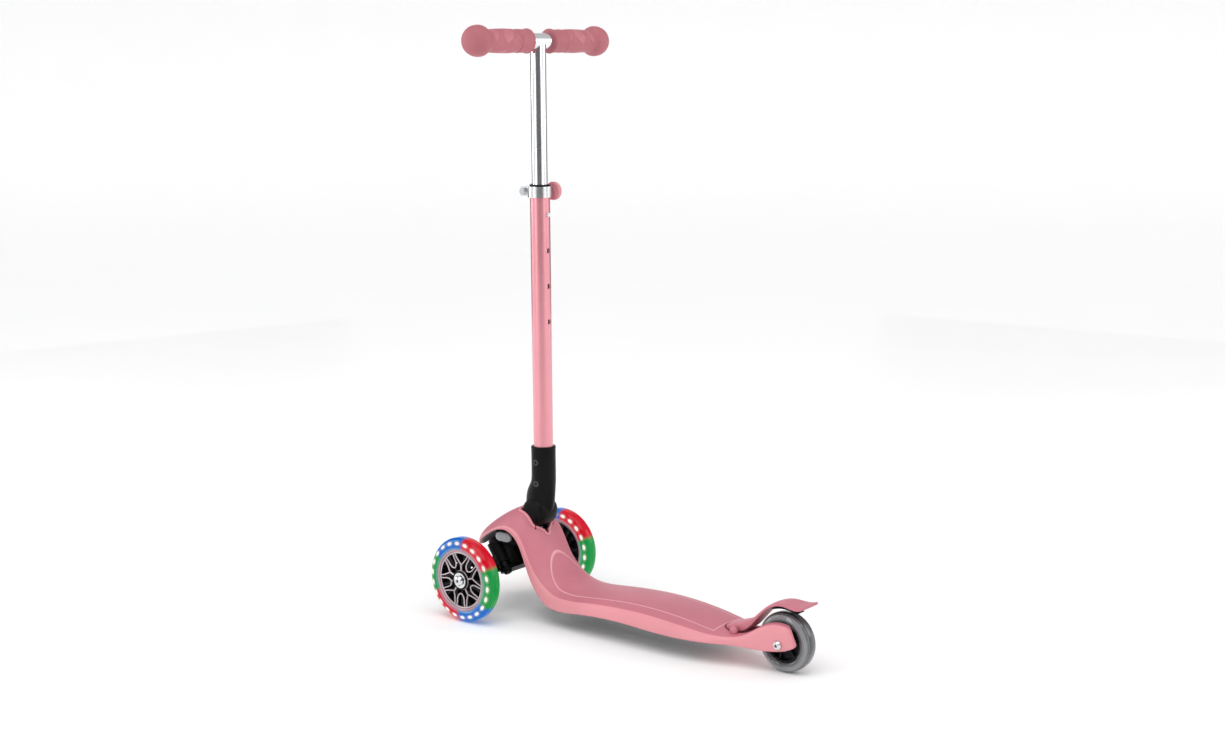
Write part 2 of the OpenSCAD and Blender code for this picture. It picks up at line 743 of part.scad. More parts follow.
module brake_fender() {
    color(pink) difference() {
        intersection() {
            profile_prism(concat(fender_top, fender_low), 30);
            plan_prism([[rx + 96, 0], [rx + 93, 9], [rx + 86, 14.5], [rx + 74, 16.6], [rx + 48, 14.2],
                [rx + 30, 15.2], [rx + 8, 16.8], [rx - 20, 18.5], [rx - 34, 19.5], [rx - 37, 15],
                [rx - 38, 0]], 0, 200);
        }
        // hollow underneath, over the wheel
        intersection() {
            profile_prism(concat(inward(fender_top, 3.4), [[rx - 60, 20], [rx + 60, 20]]), 12.6);
            translate([rx - 24, -40, 20]) cube([70, 80, 90]);
        }
        rod_y(rx, rear_r, rear_r + 4, -12.6, 12.6);
        rod_y(brake_x, brake_z, 3 + run, -40, 40);
        translate([brake_x, -9, brake_z]) rotate([-90, 0, 0]) cylinder(r = 7, h = 18);
        translate([brake_x - 7, -9, brake_z - 20]) cube([14, 18, 20]);
    }
}

module brake_pad() {
    color(steel) difference() {
        rod_y(rx, rear_r, rear_r + 7, -8, 8);
        rod_y(rx, rear_r, rear_r + 4.6, -20, 20);
        translate([rx - 80, -40, -20]) cube([160, 80, 20 + rear_r + 42]);
    }
}

module brake_pin() {
    color(silver) rod_y(brake_x, brake_z, 3, -23.5, 23.5);
}

module brake_spring() {
    color(steel) for (i = [-3 : 3]) translate([brake_x, 2.4 * i, brake_z]) rotate([-90, 0, 0])
        rotate_extrude() translate([4.8, 0]) circle(r = 0.9, $fn = 16);
}

// ---------- lower upright ----------

module height_holes(r) {
    for (i = [0 : hole_count - 1]) translate([sx - low_r - 5, 0, top_hole_z - hole_pitch * i])
        rotate([0, 90, 0]) cylinder(r = r, h = 12, $fn = 40);
}

module lower_tube() {
    color(pink) difference() {
        translate([sx, 0, tube_foot]) cylinder(r = low_r, h = lower_tube_top - tube_foot);
        translate([sx, 0, tube_foot - 1]) cylinder(r = bore_r, h = lower_tube_top);
        height_holes(button_d / 2 + 0.1);
        housing_screw_places() cylinder(r = 2.1, h = 40, center = true);
    }
}

module housing_screw_places() {
    for (z = [221, 190]) translate([sx, housing_r, z]) rotate([-90, 0, 0]) children();
}

// Crowned barrel along Y, like a ball with flat ends.
module barrel_shape(x, z, r, n) {
    translate([x, 0, z]) rotate([-90, 0, 0]) rotate_extrude($fn = n) polygon(concat([[0, -pivot_half]],
        [for (i = [-4 : 4]) let (y = pivot_half * i / 4) [sqrt(r * r - y * y * 0.72), y]],
        [[0, pivot_half]]));
}

module hinge_housing() {
    color(black) difference() {
        union() {
            translate([sx, 0, 170]) cylinder(r = housing_r, h = housing_top - 170 - 3);
            translate([sx, 0, housing_top - 3.4]) cylinder(r = housing_r + 0.5, h = 3.4);
            hull() {
                translate([sx, 0, 168]) cylinder(r = housing_r - 0.05, h = 17, $fn = soft);
                barrel_shape(px, pz, pivot_r - 0.4, soft);
                barrel_shape(px + 3, pz + 19, pivot_r - 4, soft);
            }
            barrel_shape(px, pz, pivot_r, 64);
        }
        translate([sx, 0, tube_foot]) cylinder(r = low_r + tiny, h = 100);
        rod_y(px, pz, fold_pin_r + run, -40, 40);
        translate([sx, 0, tube_foot - 6]) cylinder(r = low_r - 3, h = 40);
        housing_screw_places() {
            translate([0, 0, -2.2]) cylinder(r = 4, h = 10);
            translate([0, 0, -10]) cylinder(r = 2.1, h = 20);
        }
    }
}

module housing_screws() {
    color(silver) housing_screw_places() translate([0, 0, -2.2]) cap_screw(3.6, 2.2, 2, 3.2, 2.5);
}

module top_bush() {
    color(black) difference() {
        union() {
            translate([sx, 0, lower_tube_top + tiny]) cylinder(r = low_r + 0.3, h = 2.4);
            translate([sx, 0, lower_tube_top - 28]) cylinder(r = bore_r - tiny, h = 28.5);
        }
        translate([sx, 0, lower_tube_top - 40]) cylinder(r = up_r + run, h = 60);
    }
}

module clamp_collar() {
    color(silver) difference() {
        union() {
            translate([sx, 0, collar_z]) cylinder(r = low_r + 3, h = collar_h);
            translate([sx + 8, -8, collar_z + 1]) cube([21, 16, collar_h - 2]);
        }
        translate([sx, 0, collar_z - 1]) cylinder(r = low_r + tiny, h = collar_h + 2);
        translate([sx + 8, -1.1, collar_z - 1]) cube([30, 2.2, collar_h + 2]);
        translate([bolt_x, -20, collar_z + collar_h / 2]) rotate([-90, 0, 0]) cylinder(r = 3.1, h = 40);
    }
}

module clamp_bolt() {
    color(silver) difference() {
        union() {
            rod_y(bolt_x, collar_z + collar_h / 2, 3, lever_y - 3, 12);
            rod_y(bolt_x, collar_z + collar_h / 2, 4.4, lever_y - 4, lever_y + 4);
        }
        translate([bolt_x, lever_y, collar_z - 20]) cylinder(r = 2.5 + tiny, h = 60);
    }
}

module clamp_nut() {
    color(steel) translate([bolt_x, 8.05, collar_z + collar_h / 2]) rotate([-90, 0, 0]) difference() {
        union() {
            cylinder(r = 5.2, h = 4.4, $fn = 6);
            cylinder(r = 4.6, h = 5);
        }
        translate([0, 0, -1]) cylinder(r = 3.02, h = 5.2);
    }
}

module lever_pin() {
    color(silver) translate([bolt_x, lever_y, collar_z - 2.5]) cylinder(r = 2.5, h = 20);
}

lever_mid = collar_z + collar_h / 2;

module clamp_lever() {
    color(pink) difference() {
        union() {
            translate([bolt_x, lever_y, lever_mid - 9.5]) cylinder(r = 5.7, h = 19);
            // arm along the tube's side, and the round paddle at its tip
            translate([0, 0, lever_mid - 7.8]) linear_extrude(height = 15.6)
                polygon([[sx - 2, -18.4], [bolt_x - 4.2, -17.7], [bolt_x + 3, -18.6], [bolt_x - 1, -22.4],
                    [bolt_x - 4.5, -23.4], [sx - 2, -23.4]]);
            translate([sx - 7, -18, lever_mid]) rotate([90, 0, 0]) rotate_extrude()
                polygon([[0, 0], [11.8, 0], [12.8, 1], [12.8, 4.6], [11.6, 6.6], [9, 7.9], [0, 7.9]]);
        }
        translate([bolt_x, lever_y, lever_mid - 40]) cylinder(r = 2.5 + run, h = 80);
        // throat for the bolt's eye
        translate([bolt_x, lever_y, lever_mid - 4.9]) cylinder(r = 6.4, h = 9.8);
        translate([bolt_x - 3.6, lever_y, lever_mid - 4.9]) cube([24, 30, 9.8]);
        translate([bolt_x, lever_y, lever_mid - 4.9]) rotate([0, 0, -24]) translate([0, -3.5, 0])
            cube([24, 7, 9.8]);
    }
}

// ---------- upper upright and handlebar ----------

module upper_tube() {
    color(silver) difference() {
        translate([sx, 0, upper_foot]) cylinder(r = up_r, h = bar_height - upper_foot);
        translate([sx, 0, upper_foot - 1]) cylinder(r = up_r - tube_wall, h = bar_height);
        rod_y(sx, bar_height, bar_r, -40, 40);
        translate([sx - up_r - 5, 0, top_hole_z]) rotate([0, 90, 0])
            cylinder(r = button_d / 2 + run, h = 12, $fn = 40);
    }
}

module guide_sleeve() {
    color(black) translate([sx, 0, upper_foot]) difference() {
        cylinder(r = bore_r - run, h = 20);
        translate([0, 0, -1]) cylinder(r = up_r + tiny, h = 30);
    }
}

module crossbar() {
    half = bar_width / 2 - 21;
    color(silver) difference() {
        rod_y(sx, bar_height, bar_r, -half, half);
        rod_y(sx, bar_height, bar_r - tube_wall, -half - 1, half + 1);
    }
}

module grip() {
    y0 = grip_gap / 2;
    y1 = bar_width / 2;
    g = grip_d / 2;
    b = bulb_d / 2;
    half = y1 - 21;
    translate([sx, 0, bar_height]) rotate([-90, 0, 0]) rotate_extrude() polygon(concat(
        [[bar_r + tiny, y0], [g - 1.2, y0], [g, y0 + 1.4], [g, y0 + 23], [g - 1.3, y0 + 24.2],
            [g - 1.3, y0 + 25.4]],
        [for (a = [0 : 8]) let (t = a / 8) [g - 0.7 + 1.1 * sin(180 * t), y0 + 26.4 + (y1 - y0 - 58.5) * t]],
        [[g - 1.8, y1 - 30.6], [g - 1.6, y1 - 28.6]],
        [for (i = [1 : 5]) [g - 0.5 + (b - g + 0.5) * sin(18 * i), y1 - 18.5 - 8.5 * cos(18 * i)]],
        [for (i = [1 : 7]) [b * cos(11.25 * i), y1 - 18.5 + 18.5 * sin(11.25 * i)]],
        [[0, y1], [0, half + 2.1], [bar_r + tiny, half + 2.1]]));
}

module grip_left() { color(pink) grip(); }
module grip_right() { color(pink) mirror([0, 1, 0]) grip(); }

module height_button() {
    color(silver) translate([sx, 0, top_hole_z]) rotate([0, -90, 0]) union() {
        translate([0, 0, 7]) cylinder(r = button_d / 2, h = low_r + 1.6 - 7);
        translate([0, 0, low_r + 1.5]) cylinder(r1 = button_d / 2, r2 = button_d / 2 - 1.1, h = 1.2);
        translate([0, 0, 6]) cylinder(r = button_d / 2 + 1, h = 1.6);
    }
}

module button_spring() {
    // bent strip inside the tube that pushes the button outwards
    r = up_r - tube_wall - 0.15;
    color(steel) translate([sx, 0, top_hole_z]) rotate([90, 0, 0]) translate([0, 0, -3]) linear_extrude(6)
        polygon([[-5.9, 7], [-5.9, -14], [-2, -34], [2.4, -36], [6, -33], [r - 1, -10], [r - 1, 6],
            [r - 1.8, 6], [r - 1.8, -10], [5.2, -32.4], [2.2, -35], [-1.4, -33.4], [-5.1, -13.8], [-5.1, 7]]);
}

// ---------- buttons and latch ----------

module fold_button_shape(grow, y0, y1) {
    hull() for (s = [-1, 1]) translate([fx - 13 + 7.5 * s, y0, block_low + 9.5]) rotate([-90, 0, 0])
        cylinder(r = 6.2 + grow, h = y1 - y0, $fn = soft);
}

module fold_button() {
    color(grey) difference() {
        fold_button_shape(0, 30, 40);
        for (i = [-4 : 4]) translate([fx - 13 + 2.6 * i - 0.5, 39.2, block_low]) cube([1, 4, 30]);
    }
}

module latch_pin() {
    color(steel) translate([px, 0, 108]) cylinder(r = 4, h = pz - pivot_r - 1.4 - 108);
}

module steer_lock_button() {
    color(grey) truck() difference() {
        union() {
            translate([-22.4, -8, -22]) cube([7, 16, 8]);
            translate([-16, -2.4, -20.5]) cube([5, 4.8, 5]);
        }
        for (i = [-2 : 2]) translate([-23, 2.8 * i - 0.6, -30]) cube([1.4, 1.2, 20]);
    }
}

deck_shell();
deck_top_panel();
under_tray();
tray_screws();
front_chassis();
fold_bracket();
fold_pin();
kingpins();
kingpin_nuts();
centring_springs();
chassis_screws();
knuckle_left();
knuckle_bush_left();
axle_bolt_left();
magnet_core_left();
knuckle_right();
knuckle_bush_right();
axle_bolt_right();
magnet_core_right();
tie_rod();
tie_rod_pins();
wheel_hub_left();
rim_ring_left();
tyre_left();
light_windows_left();
bearings_left();
wheel_hub_right();
rim_ring_right();
tyre_right();
light_windows_right();
bearings_right();
rear_axle_bolt();
rear_axle_nut();
rear_spacers();
rear_hub();
rear_tyre();
rear_bearings();
brake_fender();
brake_pad();
brake_pin();
brake_spring();
lower_tube();
hinge_housing();
housing_screws();
top_bush();
clamp_collar();
clamp_bolt();
clamp_nut();
clamp_lever();
lever_pin();
upper_tube();
crossbar();
guide_sleeve();
grip_left();
grip_right();
height_button();
button_spring();
fold_button();
latch_pin();
steer_lock_button();
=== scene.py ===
"""Child's three-wheel folding kick scooter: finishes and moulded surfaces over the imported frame."""
import math

import bmesh
import bpy
from mathutils import Matrix, Vector


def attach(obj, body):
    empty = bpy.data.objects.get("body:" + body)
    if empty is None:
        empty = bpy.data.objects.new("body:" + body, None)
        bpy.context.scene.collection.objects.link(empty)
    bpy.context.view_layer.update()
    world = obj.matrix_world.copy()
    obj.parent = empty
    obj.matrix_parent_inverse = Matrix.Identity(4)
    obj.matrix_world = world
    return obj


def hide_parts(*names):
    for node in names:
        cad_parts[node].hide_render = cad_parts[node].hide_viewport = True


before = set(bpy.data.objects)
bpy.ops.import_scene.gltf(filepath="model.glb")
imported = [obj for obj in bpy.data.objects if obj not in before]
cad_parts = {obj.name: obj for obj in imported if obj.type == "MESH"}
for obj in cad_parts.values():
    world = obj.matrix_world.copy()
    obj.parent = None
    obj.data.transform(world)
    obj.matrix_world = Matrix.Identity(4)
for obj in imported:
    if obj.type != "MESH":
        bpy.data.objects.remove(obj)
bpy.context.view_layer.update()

MM = 0.001
# millimetres in the frame: x of the front axle, the rear axle and the upright, then the folding pivot
FX, RX, SX = 228.25, -248.75, 170.25
PX, PZ = SX + 8, 147.0
BAR_Z = 809.0
# wheels: outer and rim radii, middle of a front wheel, tyre width and the round of its shoulder
FRONT_R, REAR_R = 60.5, 40.0
FRONT_RIM, REAR_RIM = 44.8, 27.05
WHEEL_Y = 104.5
TYRE_WIDTH, TYRE_SHOULDER = 24, 9
WINDOWS, WINDOW_R = 22, 53.4
# turns for rods, which are made standing
UPRIGHT = Matrix.Identity(4)
LYING = Matrix.Rotation(math.radians(90), 4, "Y")


# ---------------------------------------------------------------- shader maths

class Wire:
    """A socket of a finish that takes part in plain arithmetic."""

    def __init__(self, finish, socket):
        self.finish, self.socket = finish, socket

    def math(self, operation, *others):
        return self.finish.node("ShaderNodeMath", {"operation": operation}, [self, *others])

    def __add__(self, o): return self.math("ADD", o)
    def __radd__(self, o): return self.math("ADD", o)
    def __sub__(self, o): return self.math("SUBTRACT", o)
    def __rsub__(self, o): return self.finish.node("ShaderNodeMath", {"operation": "SUBTRACT"}, [o, self])
    def __mul__(self, o): return self.math("MULTIPLY", o)
    def __rmul__(self, o): return self.math("MULTIPLY", o)
    def __truediv__(self, o): return self.math("DIVIDE", o)
    def __rtruediv__(self, o): return self.finish.node("ShaderNodeMath", {"operation": "DIVIDE"}, [o, self])
    def __abs__(self): return self.math("ABSOLUTE")

    def smooth(self, low, high):
        """0 below low, 1 above high, smooth between."""
        return self.finish.node("ShaderNodeMapRange", {"interpolation_type": "SMOOTHSTEP"},
                                {"Value": self, "From Min": low, "From Max": high})


class Finish:
    """One node material, built around a Principled shader."""

    def __init__(self, name, **constants):
        self.material = bpy.data.materials.new(name)
        self.material.use_nodes = True
        self.tree = self.material.node_tree
        self.shader = self.tree.nodes["Principled BSDF"]
        for label, value in constants.items():
            self.shader.inputs[label.replace("_", " ")].default_value = value

    def node(self, kind, settings=None, inputs=(), output=0):
        made = self.tree.nodes.new(kind)
        for label, value in (settings or {}).items():
            if label == "stops":
                ramp = made.color_ramp
                while len(ramp.elements) < len(value):
                    ramp.elements.new(0.5)
                for stop, (place, colour) in zip(ramp.elements, value):
                    stop.position, stop.color = place, (*colour, 1)
            else:
                setattr(made, label, value)
        pairs = inputs.items() if isinstance(inputs, dict) else enumerate(inputs)
        for key, value in pairs:
            socket = made.inputs[key]
            if isinstance(value, Wire):
                self.tree.links.new(value.socket, socket)
            else:
                socket.default_value = value
        return Wire(self, made.outputs[output])

    def place(self):
        return self.node("ShaderNodeTexCoord", output="Object")

    def axes(self):
        split = self.node("ShaderNodeSeparateXYZ", {}, [self.place()])
        outs = split.socket.node.outputs
        return [Wire(self, outs[i]) for i in range(3)]

    def stretched(self, scale):
        return self.node("ShaderNodeMapping", {}, {"Vector": self.place(), "Scale": scale})

    def noise(self, scale, detail=3.0, rough=0.5, vector=None):
        return self.node("ShaderNodeTexNoise", {}, {"Vector": vector or self.place(), "Scale": scale,
                                                    "Detail": detail, "Roughness": rough})

    def cells(self, scale):
        return self.node("ShaderNodeTexVoronoi", {}, {"Vector": self.place(), "Scale": scale})

    def blend(self, factor, a, b):
        return self.node("ShaderNodeMix", {"data_type": "RGBA"},
                         {0: factor, 6: a if isinstance(a, Wire) else (*a, 1),
                          7: b if isinstance(b, Wire) else (*b, 1)},
                         output=2)

    def set(self, label, value):
        self.tree.links.new(value.socket, self.shader.inputs[label])

    def bump(self, height, depth, under=None):
        inputs = {"Strength": 1.0, "Distance": depth, "Height": height}
        if under is not None:
            inputs["Normal"] = under
        return self.node("ShaderNodeBump", {}, inputs)


# ---------------------------------------------------------------- colours and finishes

DUSKY = (0.520, 0.160, 0.205)
# SALMON, the deck's side band colour, is partly a paler pink and partly painted light from the front-left
SALMON = (0.690, 0.262, 0.296)
TUBE_PINK = (0.780, 0.290, 0.335)
GRIP_PINK = (0.440, 0.132, 0.158)
BLACK = (0.0045, 0.0045, 0.005)


def moulded(finish, base, spread, grain, depth):
    """Fine-grained moulded plastic: colour drift, roughness drift and a stippled skin."""
    drift = finish.noise(14.0, 4.0).smooth(0.3, 0.7)
    dark = tuple(c * (1 - spread) for c in base)
    light = tuple(min(1, c * (1 + spread)) for c in base)
    grains = finish.noise(grain, 2.0, 0.6)
    return finish.blend(drift, dark, light), grains, finish.bump(grains, depth)


def black_plastic(name, rough=0.42, grain=2200, depth=0.00006, base=BLACK):
    f = Finish(name, IOR=1.45, Specular_IOR_Level=0.12)
    colour, grains, normal = moulded(f, base, 0.25, grain, depth)
    scuff = f.noise(90.0, 6.0, 0.7).smooth(0.62, 0.8)
    f.set("Base Color", f.blend(scuff * 0.12, colour, (0.05, 0.05, 0.055)))
    f.set("Roughness", grains * 0.12 + scuff * 0.15 + (rough - 0.06))
    f.set("Normal", normal)
    return f.material


def metal(name, base, rough=0.22, brushed=(1, 1, 1), depth=0.00002, scale=900.0):
    f = Finish(name, Metallic=1.0)
    lines = f.noise(scale, 3.0, 0.55, f.stretched(brushed))
    smear = f.noise(22.0, 4.0)
    f.set("Base Color", f.blend(smear.smooth(0.3, 0.7), tuple(c * 0.9 for c in base), base))
    f.set("Roughness", lines * 0.12 + smear * 0.08 + (rough - 0.1))
    f.set("Normal", f.bump(lines, depth))
    return f.material


def tube_paint():
    f = Finish("anodised_pink", Coat_Weight=1.0, Coat_Roughness=0.12, Coat_IOR=1.6, Metallic=0.75)
    flake = f.noise(5200.0, 1.0, 0.5)
    drift = f.noise(9.0, 3.0).smooth(0.25, 0.75)
    height = f.axes()[2]
    chip = f.noise(260.0, 5.0, 0.75).smooth(0.74, 0.79) * height.smooth(0.60, 0.612)
    pink = f.blend(drift, tuple(c * 0.94 for c in TUBE_PINK), TUBE_PINK)
    pink = f.blend(flake.smooth(0.55, 0.8) * 0.18, pink, (0.95, 0.55, 0.6))
    f.set("Base Color", f.blend(chip, pink, (0.5, 0.5, 0.52)))
    f.set("Roughness", flake * 0.10 + drift * 0.06 + 0.24)
    f.set("Normal", f.bump(flake, 0.00002))
    return f.material


def deck_skin():
    """Deck moulding: dusky grained tread on top; the brighter side band is partly a paler pink and partly painted
    light from the front-left; black inside.
    """
    f = Finish("deck_moulding", IOR=1.48)
    zone = f.node("ShaderNodeAttribute", {"attribute_name": "zone"}, output="Fac")
    x, y, _ = f.axes()
    drift = f.noise(11.0, 4.0).smooth(0.3, 0.7)
    dusky = f.blend(drift, tuple(c * 0.93 for c in DUSKY), tuple(c * 1.06 for c in DUSKY))
    # side band colour: partly a paler pink, partly painted light from the front-left
    salmon = f.blend(drift, tuple(c * 0.95 for c in SALMON), tuple(min(1, c * 1.04) for c in SALMON))
    side = zone.smooth(0.47, 0.53)
    inside = zone.smooth(1.45, 1.55)
    # raised foot panel with a round front end, as a distance in metres from its outline
    ahead = ((x - (FX - 128) * MM) / (48 * MM)).math("MAXIMUM", 0.0)
    behind = ((FX - 150) * MM - x).math("MAXIMUM", 0.0)
    half = 0.0375 - behind * 0.028
    away = ((ahead * ahead + (y / half) * (y / half)).math("SQRT") - 1.0) * half
    rear = (RX + 96) * MM - x
    edge = away.math("MAXIMUM", rear)
    groove = 1.0 - abs(edge).smooth(0.0004, 0.0017)
    panel = 1.0 - edge.smooth(-0.0006, 0.0006)
    tread = f.cells(620.0)
    dust = f.noise(60.0, 5.0, 0.65).smooth(0.55, 0.8)
    top = f.blend(dust * 0.12, dusky, (0.66, 0.30, 0.34))
    top = f.blend(groove * 0.75, top, (0.84, 0.40, 0.45))
    colour = f.blend(side, top, salmon)
    f.set("Base Color", f.blend(inside, colour, BLACK))
    stipple = f.noise(2300.0, 2.0, 0.6)
    f.set("Roughness", stipple * 0.10 + dust * 0.06 + 0.40 - side * 0.05)
    fine = f.bump(stipple, 0.00008)
    grip = f.bump(tread * panel * (1.0 - side), 0.00012, fine)
    f.set("Normal", f.bump(panel * (1.0 - side) - groove * 0.8, 0.0007, grip))
    return f.material


def plain_pink(name, base, depth=0.00006, rough=0.4, grain=2300.0):
    f = Finish(name, IOR=1.48)
    colour, grains, normal = moulded(f, base, 0.06, grain, depth)
    rub = f.noise(45.0, 5.0, 0.6).smooth(0.55, 0.8)
    f.set("Base Color", f.blend(rub * 0.14, colour, tuple(min(1, c * 1.3) for c in base)))
    f.set("Roughness", grains * 0.1 + rub * 0.08 + (rough - 0.05))
    f.set("Normal", normal)
    return f.material


def grip_rubber():
    """Soft grip with raised ovals and a swirl that winds round its body."""
    f = Finish("grip_rubber", IOR=1.45)
    x, y, z = f.axes()
    dx, dz = x - SX * MM, z - BAR_Z * MM
    turn = dz.math("ARCTAN2", dx)
    along = abs(y)
    body = along.smooth(0.049, 0.054) * (1.0 - along.smooth(0.098, 0.104))
    wave = ((along * 115.0) + (turn * 1.0)).math("SINE")
    wave2 = ((along * 115.0) - (turn * 2.0) + 1.6).math("SINE")
    relief = (wave * wave2).smooth(0.02, 0.22) * body
    grains = f.noise(2600.0, 2.0, 0.6)
    drift = f.noise(16.0, 4.0).smooth(0.3, 0.7)
    base = f.blend(drift, tuple(c * 0.93 for c in GRIP_PINK), tuple(c * 1.07 for c in GRIP_PINK))
    f.set("Base Color", f.blend(relief * 0.22, base, (0.68, 0.27, 0.31)))
    f.set("Roughness", grains * 0.10 + 0.5 - relief * 0.06)
    fine = f.bump(grains, 0.00007)
    f.set("Normal", f.bump(relief, 0.0009, fine))
    return f.material


def light_tyre():
    """Clear cast tyre lit from inside: six coloured parts and a ring of bright oval windows."""
    f = Finish("lit_tyre", Coat_Weight=0.35, Coat_Roughness=0.06, IOR=1.46, Specular_IOR_Level=0.1,
               Emission_Strength=0.95)
    x, y, z = f.axes()
    dx, dz = x - FX * MM, z - FRONT_R * MM
    turns = dz.math("ARCTAN2", dx) / (2 * math.pi)
    part = (turns - 0.097).math("FRACT")
    blue, red, green = (0.0, 0.13, 0.50), (0.58, 0.002, 0.014), (0.0, 0.27, 0.045)
    stops = []
    for i, colour in enumerate([blue, red, green] * 2):
        stops += [((i + 0.05) / 6, colour), ((i + 0.95) / 6, colour)]
    hue = f.node("ShaderNodeValToRGB", {"stops": stops}, [part])
    radius = (dx * dx + dz * dz).math("SQRT")
    # oval windows, as shares of their half length and half width
    step = ((turns * WINDOWS + 0.25).math("FRACT") - 0.5) * (2 * math.pi * WINDOW_R / WINDOWS)
    off = (radius - WINDOW_R * MM) * 1000
    oval = (step * step / 4.3 ** 2 + off * off / 2.3 ** 2).math("SQRT")
    window = 1.0 - oval.smooth(0.78, 1.08)
    halo = 1.0 - oval.smooth(0.9, 2.0)
    inner = 1.0 - radius.smooth(0.0455, 0.0485)
    pale = f.blend(inner * 0.4, hue, (0.22, 0.42, 0.55))
    pale = f.blend(halo * 0.30, pale, (0.75, 0.62, 0.55))
    lit = f.blend(window, pale, (1.0, 0.98, 0.94))
    ripple = f.noise(130.0, 3.0)
    f.set("Base Color", f.blend(0.85, pale, (0.0, 0.0, 0.002)))
    f.set("Emission Color", f.blend(ripple.smooth(0.5, 0.9) * 0.25, lit, (0.01, 0.01, 0.02)))
    f.set("Roughness", ripple * 0.12 + 0.08)
    tread = (abs(abs(y) - WHEEL_Y * MM) * 1600.0).math("SINE") * radius.smooth(0.0588, 0.0597)
    f.set("Normal", f.bump(tread * 0.5 + ripple * 0.3 + window * 0.8, 0.0004))
    return f.material


def led_finish():
    f = Finish("small_light", Emission_Strength=1.5)
    spot = f.noise(300.0, 3.0)
    colour = f.blend(spot.smooth(0.3, 0.8), (1.0, 0.97, 0.9), (0.92, 0.98, 1.0))
    f.set("Base Color", colour)
    f.set("Emission Color", colour)
    f.set("Roughness", spot * 0.2 + 0.15)
    return f.material


def smoky_tyre():
    """Smoky translucent tyre with a paler, worn tread and a dark root."""
    f = Finish("smoky_tyre", Coat_Weight=0.5, Coat_Roughness=0.08, IOR=1.45, Transmission_Weight=0.35)
    x, y, z = f.axes()
    dx, dz = x - RX * MM, z - REAR_R * MM
    radius = (dx * dx + dz * dz).math("SQRT")
    cloud = f.noise(55.0, 4.0)
    rings = ((radius * 2600.0) + cloud * 2.0).math("SINE").smooth(0.55, 0.95)
    colour = f.blend(radius.smooth(0.0285, 0.0355), (0.035, 0.037, 0.043), (0.30, 0.305, 0.315))
    colour = f.blend(radius.smooth(0.0362, 0.0395), colour, (0.075, 0.078, 0.088))
    colour = f.blend(rings * 0.25, colour, (0.62, 0.63, 0.64))
    f.set("Base Color", f.blend(cloud.smooth(0.4, 0.8) * 0.2, colour, (0.42, 0.43, 0.45)))
    f.set("Roughness", cloud * 0.12 + 0.12)
    lines = (abs(y) * 1400.0).math("SINE") * radius.smooth(0.037, 0.0385)
    f.set("Normal", f.bump(lines * 0.5 + cloud * 0.3 + rings * 0.3, 0.00025))
    return f.material


def polished_tube():
    """Polished aluminium: fine lines drawn along the tube, small rubbed marks."""
    f = Finish("polished_tube", Metallic=1.0)
    drawn = f.noise(1400.0, 3.0, 0.5, f.stretched((1, 1, 0.01)))
    marks = f.noise(30.0, 5.0, 0.65)
    f.set("Base Color", f.blend(marks.smooth(0.35, 0.75), (0.80, 0.81, 0.83), (0.92, 0.92, 0.93)))
    f.set("Roughness", drawn * 0.08 + marks * 0.05 + 0.06)
    f.set("Normal", f.bump(drawn, 0.000012))
    return f.material


# ---------------------------------------------------------------- mesh helpers

def linked(bm, name):
    """Turns a bmesh into an object of the scene."""
    mesh = bpy.data.meshes.new(name)
    bm.to_mesh(mesh)
    bm.free()
    obj = bpy.data.objects.new(name, mesh)
    bpy.context.scene.collection.objects.link(obj)
    return obj


def finish_mesh(bm, name, material, body, smooth=True, levels=0, hides=()):
    bm.normal_update()
    obj = linked(bm, name)
    mesh = obj.data
    mesh.materials.append(material)
    for p in mesh.polygons:
        p.use_smooth = smooth
    if levels:
        sub = obj.modifiers.new("smooth", "SUBSURF")
        sub.levels = sub.render_levels = levels
    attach(obj, body)
    if hides:
        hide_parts(*hides)
    return obj


def ring_of(bm, points, layer=None, values=None):
    """A closed ring of edges through the points, each with its zone value."""
    verts = [bm.verts.new(Vector(p) * MM) for p in points]
    if layer is not None:
        for v, value in zip(verts, values):
            v[layer] = value
    return verts, [bm.edges.new((verts[i], verts[(i + 1) % len(verts)])) for i in range(len(verts))]


def loft(bm, rings, layer=None, values=None):
    """Bridges one ring of points to the next, and closes both ends."""
    made = [ring_of(bm, r, layer, values[i] if values else None) for i, r in enumerate(rings)]
    for (_, a), (_, b) in zip(made, made[1:]):
        bmesh.ops.bridge_loops(bm, edges=a + b)
    for verts, _ in (made[0], made[-1]):
        bm.faces.new(verts)
    bmesh.ops.recalc_face_normals(bm, faces=bm.faces[:])
    return made


def both_halves(half):
    """A full ring from its left half, which starts and ends on the middle line."""
    return half + [(x, -y, z) for x, y, z in reversed(half[1:-1])]


def spun(bm, profile, centre, axis, steps):
    """A closed revolved piece from (radius, distance along the axis) points."""
    side = Vector((1, 0, 0)) if abs(axis.y) > 0.5 else Vector((0, 1, 0))
    verts = [bm.verts.new((centre + side * r + axis * a) * MM) for r, a in profile]
    edges = [bm.edges.new((verts[i], verts[i + 1])) for i in range(len(verts) - 1)]
    bmesh.ops.spin(bm, geom=verts + edges, cent=centre * MM, axis=axis, angle=2 * math.pi, steps=steps,
                   use_merge=True)
    bmesh.ops.remove_doubles(bm, verts=bm.verts[:], dist=1e-6)
    bmesh.ops.recalc_face_normals(bm, faces=bm.faces[:])


# ---------------------------------------------------------------- deck

